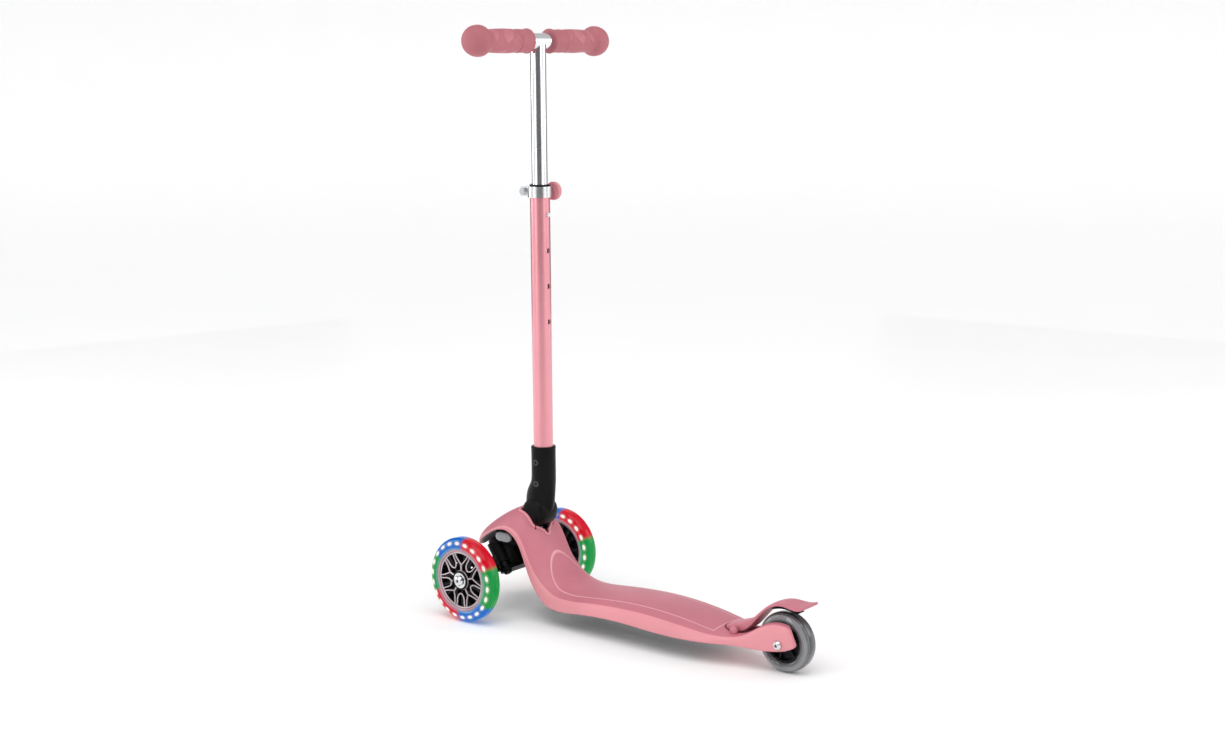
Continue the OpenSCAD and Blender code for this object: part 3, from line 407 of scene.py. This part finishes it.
# crest point, line under the crowned top, lower edge (x from the front axle, z), half widths at both
STATIONS = [
    ((55.5, 87), (54.5, 84.5), (53, 82), 12, 13.5), ((52, 100), (49, 93.5), (47.5, 87), 24, 26.2),
    ((43, 111.5), (38, 102), (37, 96), 33.5, 35.8), ((29, 123), (22, 111), (23, 105), 39.5, 41.6),
    ((11, 135.5), (5, 120), (8, 114.5), 42.3, 44.3), ((-7, 145.5), (-10, 126.5), (-6, 121), 43.3, 45.3),
    ((-23, 152.6), (-26, 129), (-22, 123.5), 43.5, 45.6),
    ((-37, 154), (-43, 123.5), (-36, 117.5), 43.6, 45.8),
    ((-49, 145), (-54, 110), (-47, 106.5), 43.8, 46), ((-59, 126), (-62, 94), (-54.5, 91), 44, 46.2),
    ((-70, 106), (-70, 78), (-61, 75), 44.2, 46.4), ((-82, 88.5), (-82, 63), (-69.5, 57.5), 44.6, 47.2),
    ((-96, 73), (-97, 51.5), (-82.5, 41), 45.4, 49), ((-112, 61), (-115, 43), (-98, 28), 46.6, 51.5),
    ((-131, 54), (-134, 41.5), (-118, 23), 47.6, 53.5), ((-152, 52), (-158, 43), (-148, 25), 48.4, 55),
    ((-190, 55.2), (-192, 47.5), (-189, 30.5), 49, 55.8),
    ((-243, 59), (-244, 50.5), (-243, 31.5), 49, 55.8),
    ((-290, 57.6), (-290, 50), (-290, 28.5), 48.5, 55.5),
    ((-330, 53.5), (-330, 46.5), (-330, 27.4), 47, 54),
    ((-362, 48.5), (-362, 42.5), (-362, 28.5), 44.5, 51.6),
    ((-386, 44.4), (-386, 39.5), (-386, 29.5), 40, 47),
    ((-403, 42.4), (-403, 39), (-403, 29.8), 33, 39.2), ((-420, 44), (-420, 41), (-420, 28.6), 26.5, 31.8),
    ((-434, 51), (-434, 48.5), (-434, 27.5), 23, 27.2), ((-449, 61.4), (-449, 59), (-449, 27), 21.2, 24.2),
    ((-464, 68.2), (-464.5, 66), (-466, 28.6), 20.4, 22.7),
    ((-479, 69.4), (-480, 67.4), (-484, 32), 20, 22.1),
    ((-488, 68.2), (-489.5, 66), (-499, 38.5), 19.8, 21.8),
    ((-490.6, 66.6), (-492, 64), (-502.5, 42), 18.6, 20.6),
]
WALL = 4.2
SHELL_STATIONS = 21


def deck_section(index, crest, line, lower, top_w, side_w):
    """Half a cross-section of the deck from its crest out to the lower edge and back inside."""
    (cx, cz), (lx, lz), (ex, ez) = crest, line, lower
    half, zone = [], []
    for share, fall in ((0, 0), (0.3, 0.07), (0.58, 0.27), (0.8, 0.55), (0.94, 0.83)):
        half.append((FX + cx + (lx - cx) * fall, top_w * share, cz + (lz - cz) * fall))
        zone.append(0.0)
    half.append((FX + lx, top_w, lz))
    zone.append(0.5)
    for step, out in ((0.22, 0.62), (0.55, 0.86), (0.88, 1.0)):
        half.append((FX + lx + (ex - lx) * step, top_w + (side_w - top_w) * out, lz + (ez - lz) * step))
        zone.append(1.0)
    half.append((FX + ex, side_w - 0.7, ez))
    zone.append(1.0)
    shell = index < SHELL_STATIONS
    down = Vector((ex - cx, 0, ez - cz)).normalized()
    half.append((FX + ex, side_w - (WALL if shell else 2.0), ez))
    zone.append(1.2)
    if shell:
        half.append((FX + lx + down.x * 3, top_w - 4.0, lz + down.z * 3))
        half.append((FX + lx + (cx - lx) * 0.45 + down.x * WALL, top_w * 0.7,
                     lz + (cz - lz) * 0.45 + down.z * WALL))
        half.append((FX + cx + down.x * WALL, 0, cz + down.z * WALL))
    else:
        half.append((FX + ex, top_w * 0.7, ez + 0.3))
        half.append((FX + ex, top_w * 0.35, ez + 0.5))
        half.append((FX + ex, 0, ez + 0.5))
    zone += [2.0, 2.0, 2.0] if shell else [1.0, 1.0, 1.0]
    return half, zone


def deck():
    bm = bmesh.new()
    layer = bm.verts.layers.float.new("zone")
    halves = [deck_section(i, *s) for i, s in enumerate(STATIONS)]
    rings = [both_halves(h) for h, _ in halves]
    zones = [z + list(reversed(z[1:-1])) for _, z in halves]
    loft(bm, rings, layer, zones)
    return bm


def cutter(name, build):
    bm = bmesh.new()
    build(bm)
    bmesh.ops.recalc_face_normals(bm, faces=bm.faces[:])
    return linked(bm, name)


def box_in(bm, x0, x1, y0, y1, z0, z1):
    size = Matrix.Diagonal(((x1 - x0) * MM, (y1 - y0) * MM, (z1 - z0) * MM, 1))
    bmesh.ops.create_cube(bm, size=1.0,
                          matrix=Matrix.Translation(Vector((x0 + x1, y0 + y1, z0 + z1)) / 2 * MM) @ size)


def rod_in(bm, centre, radius, length, turn, segments=96):
    bmesh.ops.create_cone(bm, cap_ends=True, segments=segments, radius1=radius * MM, radius2=radius * MM,
                          depth=length * MM, matrix=Matrix.Translation(Vector(centre) * MM) @ turn)


def crowned_barrel(bm, radius, half):
    profile = [(0.0, -half)] + [(math.sqrt(radius ** 2 - 0.42 * (half * i / 8) ** 2), half * i / 8)
                                for i in range(-8, 9)] + [(0.0, half)]
    spun(bm, profile, Vector((PX, 0, PZ)), Vector((0, 1, 0)), 72)


WELL_CUTS = {
    # room for the rear wheel and for the brake's root
    "wheel_well": lambda bm: box_in(bm, RX - 60, RX + 47, -14.2, 14.2, -5, 115),
    "brake_well": lambda bm: box_in(bm, RX + 40, RX + 78, -17.8, 17.8, 35.5, 95),
    "brake_round": lambda bm: rod_in(bm, (RX + 78, 0, 65), 17.8, 59, UPRIGHT),
}
HINGE_CUTS = {
    # room for the hinge, for the upright lying folded, and the round-ended slot behind
    "hinge_room": lambda bm: crowned_barrel(bm, 23.6, 21.0),
    "hinge_top": lambda bm: box_in(bm, PX - 18, PX + 23.2, -19.8, 19.8, PZ - 2, PZ + 60),
    "folded_room": lambda bm: rod_in(bm, (PX - 45, 0, PZ - 8), 18.9, 90, LYING),
    "slot": lambda bm: box_in(bm, PX - 36, PX - 6, -4.6, 4.6, 118, 160),
    "slot_end": lambda bm: rod_in(bm, (PX - 21, 0, 118), 4.6, 30, LYING, 48),
}


def subtract(obj, cuts, material=None):
    """Cuts the named shapes out of a piece. The cut faces take the given material."""
    tools = [cutter(name, build) for name, build in cuts.items()]
    if material:
        obj.data.materials.append(material)
    for tool in tools:
        if material:
            tool.data.materials.append(material)
        cut = obj.modifiers.new("cut", "BOOLEAN")
        cut.operation, cut.solver, cut.object = "DIFFERENCE", "EXACT", tool
        cut.material_mode = "TRANSFER"
    bpy.context.view_layer.update()
    mesh = bpy.data.meshes.new_from_object(obj.evaluated_get(bpy.context.evaluated_depsgraph_get()))
    obj.modifiers.clear()
    obj.data = mesh
    for tool in tools:
        bpy.data.objects.remove(tool)


def shade_by_angle(obj, degrees):
    """Rounds the shading, and keeps edges sharper than the angle crisp."""
    bm = bmesh.new()
    bm.from_mesh(obj.data)
    for edge in bm.edges:
        edge.smooth = len(edge.link_faces) == 2 and edge.calc_face_angle(0.0) < math.radians(degrees)
    for face in bm.faces:
        face.smooth = True
    bm.to_mesh(obj.data)
    bm.free()


def loops_of(edges):
    """The closed chains of vertices that a set of edges forms."""
    left, chains = set(edges), []
    while left:
        edge = left.pop()
        chain, end = [edge.verts[0], edge.verts[1]], edge.verts[1]
        while True:
            step = next((e for e in end.link_edges if e in left), None)
            if step is None:
                break
            left.remove(step)
            end = step.other_vert(end)
            chain.append(end)
        if chain[0] == chain[-1]:
            chains.append([v.co.copy() for v in chain[:-1]])
    return chains


def evened(points, gap, passes=3):
    """The same closed line with points at an even gap, its kinks eased."""
    total = sum((points[i] - points[i - 1]).length for i in range(len(points)))
    count = max(12, round(total / gap))
    out, reach, i = [], 0.0, 0
    walk = points + [points[0]]
    for k in range(count):
        want = total * k / count
        while reach + (walk[i + 1] - walk[i]).length < want:
            reach += (walk[i + 1] - walk[i]).length
            i += 1
        piece = walk[i + 1] - walk[i]
        out.append(walk[i] + piece * ((want - reach) / max(piece.length, 1e-9)))
    for _ in range(passes):
        out = [(out[j - 1] + out[j] * 2 + out[(j + 1) % count]) / 4 for j in range(count)]
    return out


def lip_along(bm, points, radius):
    """A rounded bead along a closed line."""
    rings = []
    for i, p in enumerate(points):
        along = (points[(i + 1) % len(points)] - points[i - 1]).normalized()
        made = bmesh.ops.create_circle(bm, segments=8, radius=radius,
                                       matrix=Matrix.Translation(p) @ along.to_track_quat("Z",
                                                                                          "X").to_matrix().to_4x4())
        rings.append([e for e in {e for v in made["verts"] for e in v.link_edges}])
    for i, ring in enumerate(rings):
        bmesh.ops.bridge_loops(bm, edges=rings[i - 1] + ring)
    bmesh.ops.recalc_face_normals(bm, faces=bm.faces[:])


def build_deck():
    # the opening's cut faces and lip take the side band's salmon, partly a paler pink and partly painted light from
    # the front-left
    bright = plain_pink("bright_edge", SALMON)
    shell = finish_mesh(deck(), "deck_moulding", deck_skin(), "deck", levels=2,
                        hides=["deck_shell", "deck_top_panel"])
    subtract(shell, WELL_CUTS)
    subtract(shell, HINGE_CUTS, bright)
    bm = bmesh.new()
    bm.from_mesh(shell.data)
    rim = [e for e in bm.edges if len(e.link_faces) == 2
           and e.link_faces[0].material_index != e.link_faces[1].material_index]
    chains = sorted(loops_of(rim), key=lambda c: -max(p.z for p in c))
    bm.free()
    bead = bmesh.new()
    lip_along(bead, evened(chains[0], 0.0022), 0.0024)
    finish_mesh(bead, "hinge_opening_lip", bright, "deck", levels=1)
    shade_by_angle(shell, 38)


# ---------------------------------------------------------------- hinge housing and tyres

# z, how far forward and back of the tube, half width
HOUSING = [
    (243.2, 17.0, 17.0, 17.0), (242.4, 17.9, 17.9, 17.9), (239.8, 17.9, 17.9, 17.9),
    (238.8, 17.6, 17.6, 17.6),
    (215, 17.6, 17.6, 17.6), (198, 17.6, 17.6, 17.6), (191, 18.8, 17.6, 17.6), (184, 23.4, 17.6, 17.5),
    (177, 27.4, 17.5, 17.2), (169, 29.9, 17.2, 16.8), (160, 30.8, 16.4, 16.3), (151, 30.6, 14.8, 15.9),
    (143, 29.4, 12.0, 15.5), (136, 26.8, 8.9, 14.9), (130, 22.4, 4.6, 13.4), (126.4, 16.0, -1.6, 9.6),
    (125.2, 11.5, -5.0, 4.0),
]


def housing():
    bm = bmesh.new()
    rings = []
    for z, front, back, half in HOUSING:
        middle, reach = SX + (front - back) / 2, (front + back) / 2
        rings.append([(middle + reach * math.cos(math.radians(a)), half * math.sin(math.radians(a)), z)
                      for a in range(0, 360, 15)])
    made = loft(bm, rings)
    top = next(f for f in made[0][0][0].link_faces if len(f.verts) == 24)
    foot = bmesh.new()
    profile = [(0.0, -20.1), (14.0, -19.9), (17.8, -18.3), (20.0, -14.5), (21.3, -9.0), (21.8, 0.0),
               (21.3, 9.0),
               (20.0, 14.5), (17.8, 18.3), (14.0, 19.9), (0.0, 20.1)]
    spun(foot, profile, Vector((PX, 0, PZ)), Vector((0, 1, 0)), 48)
    # bore for the tubes, down to the lower tube's foot
    bmesh.ops.inset_individual(bm, faces=[top], thickness=2.9 * MM)
    for depth in (1.0, 66.0, 1.0):
        bore = bmesh.ops.extrude_discrete_faces(bm, faces=[top])
        top = bore["faces"][0]
        bmesh.ops.translate(bm, verts=top.verts[:], vec=(0, 0, -depth * MM))
    take_in(bm, foot)
    return bm


def housing_plugs():
    """Ringed screw heads on the housing's left side."""
    bm = bmesh.new()
    for z in (221, 190):
        ring = [(0.0, 16.6), (1.7, 16.6), (2.0, 17.1), (2.3, 17.7), (3.2, 17.95), (4.1, 17.7), (4.5, 17.1),
                (4.6, 16.0),
                (0.0, 16.0)]
        spun(bm, ring, Vector((SX, 0, z)), Vector((0, 1, 0)), 32)
    return bm


def tyre(centre, side, rim, outer):
    """Solid tyre with a round-shouldered face."""
    half, edge = TYRE_WIDTH / 2, TYRE_SHOULDER
    arc = [(outer - edge + edge * math.sin(math.radians(a)), half - edge + edge * math.cos(math.radians(a)))
           for a in range(0, 91, 15)]
    profile = [(rim, half)] + arc + [(r, -t) for r, t in reversed(arc[:-1])] + [(rim, -half)]
    bm = bmesh.new()
    spun(bm, profile + [(rim, half)], Vector(centre), Vector((0, side, 0)), 96)
    return bm


# ---------------------------------------------------------------- fender, grips and small pieces

FENDER = [
    # x from the rear axle, top z, bottom z, half width
    (93.5, 45.4, 43.4, 8), (88, 48.5, 41.5, 13), (78, 52.4, 40.5, 15.8), (66, 56.3, 41.5, 15.4),
    (54, 60.6, 47.5, 14.6),
    (45, 66.4, 57.5, 14.5), (35, 76.6, 69.5, 15.1), (24, 86.4, 80.5, 15.9), (12, 93.2, 87.8, 16.7),
    (-2, 96, 91.2, 17.4),
    (-15, 94.4, 88.5, 18.3), (-26, 94.4, 87.8, 18.9), (-33, 96.2, 90.2, 19.2), (-37.2, 97.6, 93.2, 18.2),
]


def fender():
    rings = []
    for x, top, low, half in FENDER:
        crown = 1.6
        section = [(RX + x, 0, top), (RX + x, half * 0.5, top - crown * 0.25),
                   (RX + x, half * 0.88, top - crown * 0.8),
                   (RX + x, half, top - crown - 0.8), (RX + x, half, low + 0.6), (RX + x, half * 0.9, low),
                   (RX + x, 0, low)]
        rings.append(both_halves(section))
    bm = bmesh.new()
    loft(bm, rings)
    return bm


def brake_ears():
    """Rounded bosses over both ends of the brake's pin."""
    bm = bmesh.new()
    for side in (-1, 1):
        profile = [(0.0, 18.4), (5.2, 18.4), (5.9, 19.2), (5.9, 22.2), (5.0, 23.8), (2.8, 24.6),
                   (0.0, 24.8)]
        spun(bm, profile, Vector((RX + 70, 0, 45.6)), Vector((0, side, 0)), 32)
    return bm


def grip(side):
    """Flanged grip with a waisted body and a mushroom end."""
    profile = [(11.1, 21.5), (15.6, 21.5), (16.6, 22.0), (17.0, 23.0), (17.0, 24.2), (16.5, 25.0),
               (15.9, 25.4),
               (15.8, 30.0), (15.8, 37.0), (16.1, 42.5), (16.2, 44.4), (15.6, 45.4), (14.8, 46.0),
               (14.8, 47.4),
               (15.3, 48.6), (15.9, 52.0), (16.4, 60.0), (16.5, 72.0), (16.2, 84.0), (15.7, 93.0),
               (15.3, 99.0),
               (15.4, 103.0), (16.2, 106.5), (17.8, 109.2), (19.6, 111.6), (20.8, 114.6), (21.2, 118.5),
               (20.9, 122.6), (19.9, 127.0), (18.0, 131.2), (15.0, 134.8), (11.0, 137.2), (6.0, 138.6),
               (0.0, 139.0)]
    bm = bmesh.new()
    spun(bm, profile, Vector((SX, 0, BAR_Z)), Vector((0, side, 0)), 72)
    return bm


def take_in(bm, part):
    """Moves a finished part's faces into a larger piece."""
    mesh = bpy.data.meshes.new("part")
    part.to_mesh(mesh)
    part.free()
    bm.from_mesh(mesh)
    bpy.data.meshes.remove(mesh)


def strip(bm, points, face, side, width=1.7, height=1.3):
    """A raised rib along flat (radius, degrees) points on the wheel's face."""
    flat = [Vector((r * math.cos(math.radians(a)), 0, r * math.sin(math.radians(a)))) for r, a in points]
    rings = []
    for i, p in enumerate(flat):
        along = (flat[min(i + 1, len(flat) - 1)] - flat[max(i - 1, 0)]).normalized()
        wide = Vector((-along.z, 0, along.x)) * width / 2
        hub = Vector((FX, face, FRONT_R)) + p
        up = Vector((0, side * height, 0))
        rings.append([tuple(q) for q in (hub - wide, hub + wide, hub + wide * 0.55 + up,
                                         hub - wide * 0.55 + up)])
    part = bmesh.new()
    loft(part, rings)
    take_in(bm, part)


def hub_ridges(side):
    """Light ribs on the wheel's face: five forked ribs, and between them five round-ended loops."""
    bm = bmesh.new()
    face = side * (WHEEL_Y + 8.3)
    for i in range(5):
        turn = 72 * i + 20
        strip(bm, [(12, turn), (18, turn), (23, turn)], face, side, 2.2)
        for s in (-1, 1):
            strip(bm, [(22.5, turn), (27, turn + 9 * s), (32, turn + 15 * s), (39.5, turn + 19 * s)], face,
                  side)
        loop = [(39.5, -11.5), (34, -11.5), (28.5, -13), (23.5, -12), (20.4, -6), (19.6, 0), (20.4, 6),
                (23.5, 12),
                (28.5, 13), (34, 11.5), (39.5, 11.5)]
        strip(bm, [(r, turn + 36 + a) for r, a in loop], face, side)
    for inner, outer, high in ((12.4, 14.0, 1.3), (8.6, 9.6, 1.3), (38.6, 41.0, 0.9)):
        part = bmesh.new()
        ring = [(inner, 0), (outer, 0), (outer - 0.2, high), (inner + 0.2, high), (inner, 0)]
        spun(part, ring, Vector((FX, face, FRONT_R)), Vector((0, side, 0)), 64)
        take_in(bm, part)
    return bm


def hub_lights(side):
    """Small lights that show between the ribs."""
    bm = bmesh.new()
    for i in range(5):
        a = math.radians(72 * i + 56)
        place = Vector((FX + 25.5 * math.cos(a), side * (WHEEL_Y + 3.2), FRONT_R + 25.5 * math.sin(a))) * MM
        bmesh.ops.create_icosphere(bm, subdivisions=2, radius=1.3 * MM, matrix=Matrix.Translation(place))
    return bm


# ---------------------------------------------------------------- finishes on the frame

def dress():
    metals = {
        "steel": metal("zinc_steel", (0.55, 0.56, 0.58), 0.32),
        "bright": metal("bright_steel", (0.78, 0.79, 0.8), 0.18),
        "dark": metal("black_oxide_steel", (0.03, 0.03, 0.033), 0.4),
        "alloy": metal("satin_alloy", (0.8, 0.81, 0.82), 0.2, (1, 1, 0.1)),
        "bronze": metal("sintered_bronze", (0.55, 0.36, 0.16), 0.4),
        "spring": metal("spring_steel", (0.35, 0.35, 0.37), 0.3),
    }
    black = black_plastic("black_nylon")
    hub = black_plastic("dark_hub_nylon", 0.38, 2400, 0.00005, (0.010, 0.010, 0.012))
    button = black_plastic("grey_button_plastic", 0.45, 2000, 0.00006, (0.46, 0.47, 0.48))
    rim = black_plastic("warm_grey_rim", 0.4, 2400, 0.00005, (0.50, 0.33, 0.36))
    pink_lever = plain_pink("pink_nylon", SALMON)
    finishes = {
        "under_tray": black, "front_chassis": black, "fold_bracket": metals["dark"],
        "fold_pin": metals["bright"],
        "kingpins": metals["dark"], "kingpin_nuts": metals["dark"], "centring_springs": metals["dark"],
        "chassis_screws": metals["dark"], "tray_screws": metals["dark"],
        "knuckle_left": black, "knuckle_right": black, "knuckle_bush_left": metals["bronze"],
        "knuckle_bush_right": metals["bronze"], "axle_bolt_left": metals["bright"],
        "axle_bolt_right": metals["bright"],
        "magnet_core_left": metals["steel"], "magnet_core_right": metals["steel"],
        "tie_rod": metals["dark"],
        "tie_rod_pins": metals["steel"], "rear_axle_bolt": metals["bright"],
        "rear_axle_nut": metals["bright"],
        "rear_spacers": metals["steel"], "rear_hub": hub, "rear_tyre": black,
        "rear_bearings": metals["steel"],
        "wheel_hub_left": hub, "wheel_hub_right": hub, "rim_ring_left": rim, "rim_ring_right": rim,
        "tyre_left": black, "tyre_right": black, "light_windows_left": black, "light_windows_right": black,
        "bearings_left": metals["bright"], "bearings_right": metals["bright"],
        "brake_pad": black, "brake_pin": metals["steel"], "brake_spring": metals["spring"],
        "lower_tube": tube_paint(), "hinge_housing": black, "housing_screws": metals["dark"],
        "top_bush": black,
        "clamp_collar": metals["alloy"], "clamp_bolt": metals["bright"], "clamp_nut": metals["steel"],
        "clamp_lever": pink_lever, "lever_pin": metals["bright"], "guide_sleeve": black,
        "height_button": metals["bright"], "button_spring": metals["spring"], "fold_button": button,
        "latch_pin": metals["steel"], "steer_lock_button": button,
    }
    chrome = polished_tube()
    finishes.update({"upper_tube": chrome, "crossbar": chrome})
    for name, material in finishes.items():
        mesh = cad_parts[name].data
        mesh.materials.clear()
        mesh.materials.append(material)


def build_pieces():
    build_deck()
    finish_mesh(fender(), "foot_brake_fender", plain_pink("brake_moulding", DUSKY, 0.0001, 0.45), "brake",
                levels=2, hides=["brake_fender"])
    finish_mesh(brake_ears(), "brake_pin_bosses", plain_pink("dusky_boss", DUSKY), "deck", levels=1)
    rubber = grip_rubber()
    finish_mesh(grip(1), "grip_rubber_left", rubber, "upper_upright", levels=1, hides=["grip_left"])
    finish_mesh(grip(-1), "grip_rubber_right", rubber, "upper_upright", levels=1, hides=["grip_right"])
    finish_mesh(housing(), "hinge_casting", black_plastic("black_hinge_casting", 0.3, 1700, 0.00007),
                "lower_upright",
                levels=2, hides=["hinge_housing"])
    finish_mesh(housing_plugs(), "housing_screw_rings",
                black_plastic("dark_ring", 0.25, 2000, 0.00003, (0.06, 0.06, 0.062)),
                "lower_upright", hides=["housing_screws"])
    ridge = black_plastic("light_grey_ridges", 0.35, 2000, 0.00003, (0.60, 0.52, 0.54))
    lit, lamp_dot = light_tyre(), led_finish()
    for name, side in (("left", 1), ("right", -1)):
        cast = tyre((FX, side * WHEEL_Y, FRONT_R), side, FRONT_RIM, FRONT_R)
        finish_mesh(cast, "lit_tyre_" + name, lit, "front_wheel_" + name,
                    hides=["tyre_" + name, "light_windows_" + name])
        finish_mesh(hub_lights(side), "hub_lights_" + name, lamp_dot, "front_wheel_" + name)
    finish_mesh(tyre((RX, 0, REAR_R), 1, REAR_RIM, REAR_R), "smoky_rear_tyre", smoky_tyre(), "rear_wheel",
                hides=["rear_tyre"])
    finish_mesh(hub_ridges(1), "hub_ridges_left", ridge, "front_wheel_left", smooth=False)
    finish_mesh(hub_ridges(-1), "hub_ridges_right", ridge, "front_wheel_right", smooth=False)


# ---------------------------------------------------------------- floor, light and camera

def floor():
    """Round floor that curves up into a wall far outside every view's camera."""
    profile = [(0, 0), (2500, 0), (5500, 0), (7600, 60), (8900, 500), (9700, 1500), (10000, 3000),
               (10100, 5200)]
    bm = bmesh.new()
    verts = [bm.verts.new((r * MM, 0, z * MM)) for r, z in profile]
    edges = [bm.edges.new((a, b)) for a, b in zip(verts, verts[1:])]
    bmesh.ops.spin(bm, geom=verts + edges, cent=(0, 0, 0), axis=(0, 0, 1), angle=2 * math.pi, steps=48,
                   use_merge=True)
    bmesh.ops.remove_doubles(bm, verts=bm.verts[:], dist=1e-5)
    bmesh.ops.recalc_face_normals(bm, faces=bm.faces[:])
    for face in bm.faces:
        face.smooth = True
    obj = linked(bm, "floor")
    sub = obj.modifiers.new("smooth", "SUBSURF")
    sub.levels = sub.render_levels = 1
    f = Finish("pale_floor", Specular_IOR_Level=0.04)
    speck = f.noise(3.0, 2.0)
    f.set("Base Color", f.blend(speck, (0.93, 0.93, 0.935), (0.95, 0.95, 0.95)))
    f.set("Roughness", speck * 0.05 + 0.5)
    obj.data.materials.append(f.material)
    obj.location.z = -0.0006


def lamp(name, place, target, size, power, colour=(1, 1, 1)):
    light = bpy.data.lights.new(name, "AREA")
    light.shape, light.size, light.size_y, light.energy, light.color = "RECTANGLE", size[0], size[1], power, colour
    obj = bpy.data.objects.new(name, light)
    obj.location = place
    obj.rotation_euler = (Vector(target) - Vector(place)).to_track_quat("-Z", "Y").to_euler()
    bpy.context.scene.collection.objects.link(obj)


def dark_card(name, turn, distance, width, material):
    """Grey board that only mirror-like surfaces see: it gives bright tubes their darker stripes."""
    place = Vector((distance * math.cos(math.radians(turn)), distance * math.sin(math.radians(turn)), 1.2))
    facing = (Vector((0, 0, 1.2)) - place).to_track_quat("-Z", "Y").to_matrix().to_4x4()
    bm = bmesh.new()
    bmesh.ops.create_grid(bm, x_segments=1, y_segments=1, size=0.5,
                          matrix=Matrix.Translation(place) @ facing @ Matrix.Diagonal((width, 4.0, 1, 1)))
    obj = linked(bm, name)
    obj.data.materials.append(material)
    obj.visible_camera = obj.visible_diffuse = obj.visible_shadow = obj.visible_transmission = False


def studio():
    floor()
    world = bpy.data.worlds.new("studio")
    bpy.context.scene.world = world
    world.use_nodes = True
    sky = world.node_tree.nodes["Background"]
    sky.inputs["Color"].default_value = (1.0, 1.0, 1.0, 1)
    sky.inputs["Strength"].default_value = 0.62
    sun = bpy.data.lights.new("overhead", "SUN")
    sun.energy, sun.angle = 1.15, math.radians(50)
    lit = bpy.data.objects.new("overhead", sun)
    lit.rotation_euler = (math.radians(-18), math.radians(-12), 0)
    bpy.context.scene.collection.objects.link(lit)
    lamp("key", (0.8, 2.8, 1.3), (0, 0, 0.35), (0.5, 1.9), 15)
    lamp("fill", (-2.9, -0.1, 1.3), (0, 0, 0.4), (0.5, 1.9), 9)
    cloth = black_plastic("grey_cloth", 0.8, 900, 0.0001, (0.16, 0.16, 0.165))
    dark_card("card_behind_camera", 129, 3.6, 4.4, cloth)
    dark_card("card_far_left", 275, 3.0, 2.2, cloth)
    dark_card("card_far_right", 345, 3.0, 2.2, cloth)
    lamp("side", (2.6, 1.2, 1.2), (0, 0, 0.4), (0.6, 1.8), 14)
    lamp("back", (-1.9, -1.9, 1.3), (0, 0, 0.4), (0.7, 1.7), 12)
    bpy.context.scene.view_settings.view_transform = "Standard"


def camera():
    data = bpy.data.cameras.new("camera")
    data.sensor_width, data.lens = 36.0, 52.83
    obj = bpy.data.objects.new("camera", data)
    bpy.context.scene.collection.objects.link(obj)
    yaw, pitch, roll = -0.8798, 0.172, -0.007
    forward = Vector((math.cos(yaw) * math.cos(pitch), math.sin(yaw) * math.cos(pitch), -math.sin(pitch)))
    right = forward.cross(Vector((0, 0, 1))).normalized()
    up = right.cross(forward)
    right, up = right * math.cos(roll) + up * math.sin(roll), up * math.cos(roll) - right * math.sin(roll)
    obj.matrix_world = Matrix((( right.x, up.x, -forward.x, -1.49946), (right.y, up.y, -forward.y, 1.86361),
                               (right.z, up.z, -forward.z, 0.78783), (0, 0, 0, 1)))
    bpy.context.scene.camera = obj


dress()
build_pieces()
studio()
camera()

bpy.context.view_layer.update()
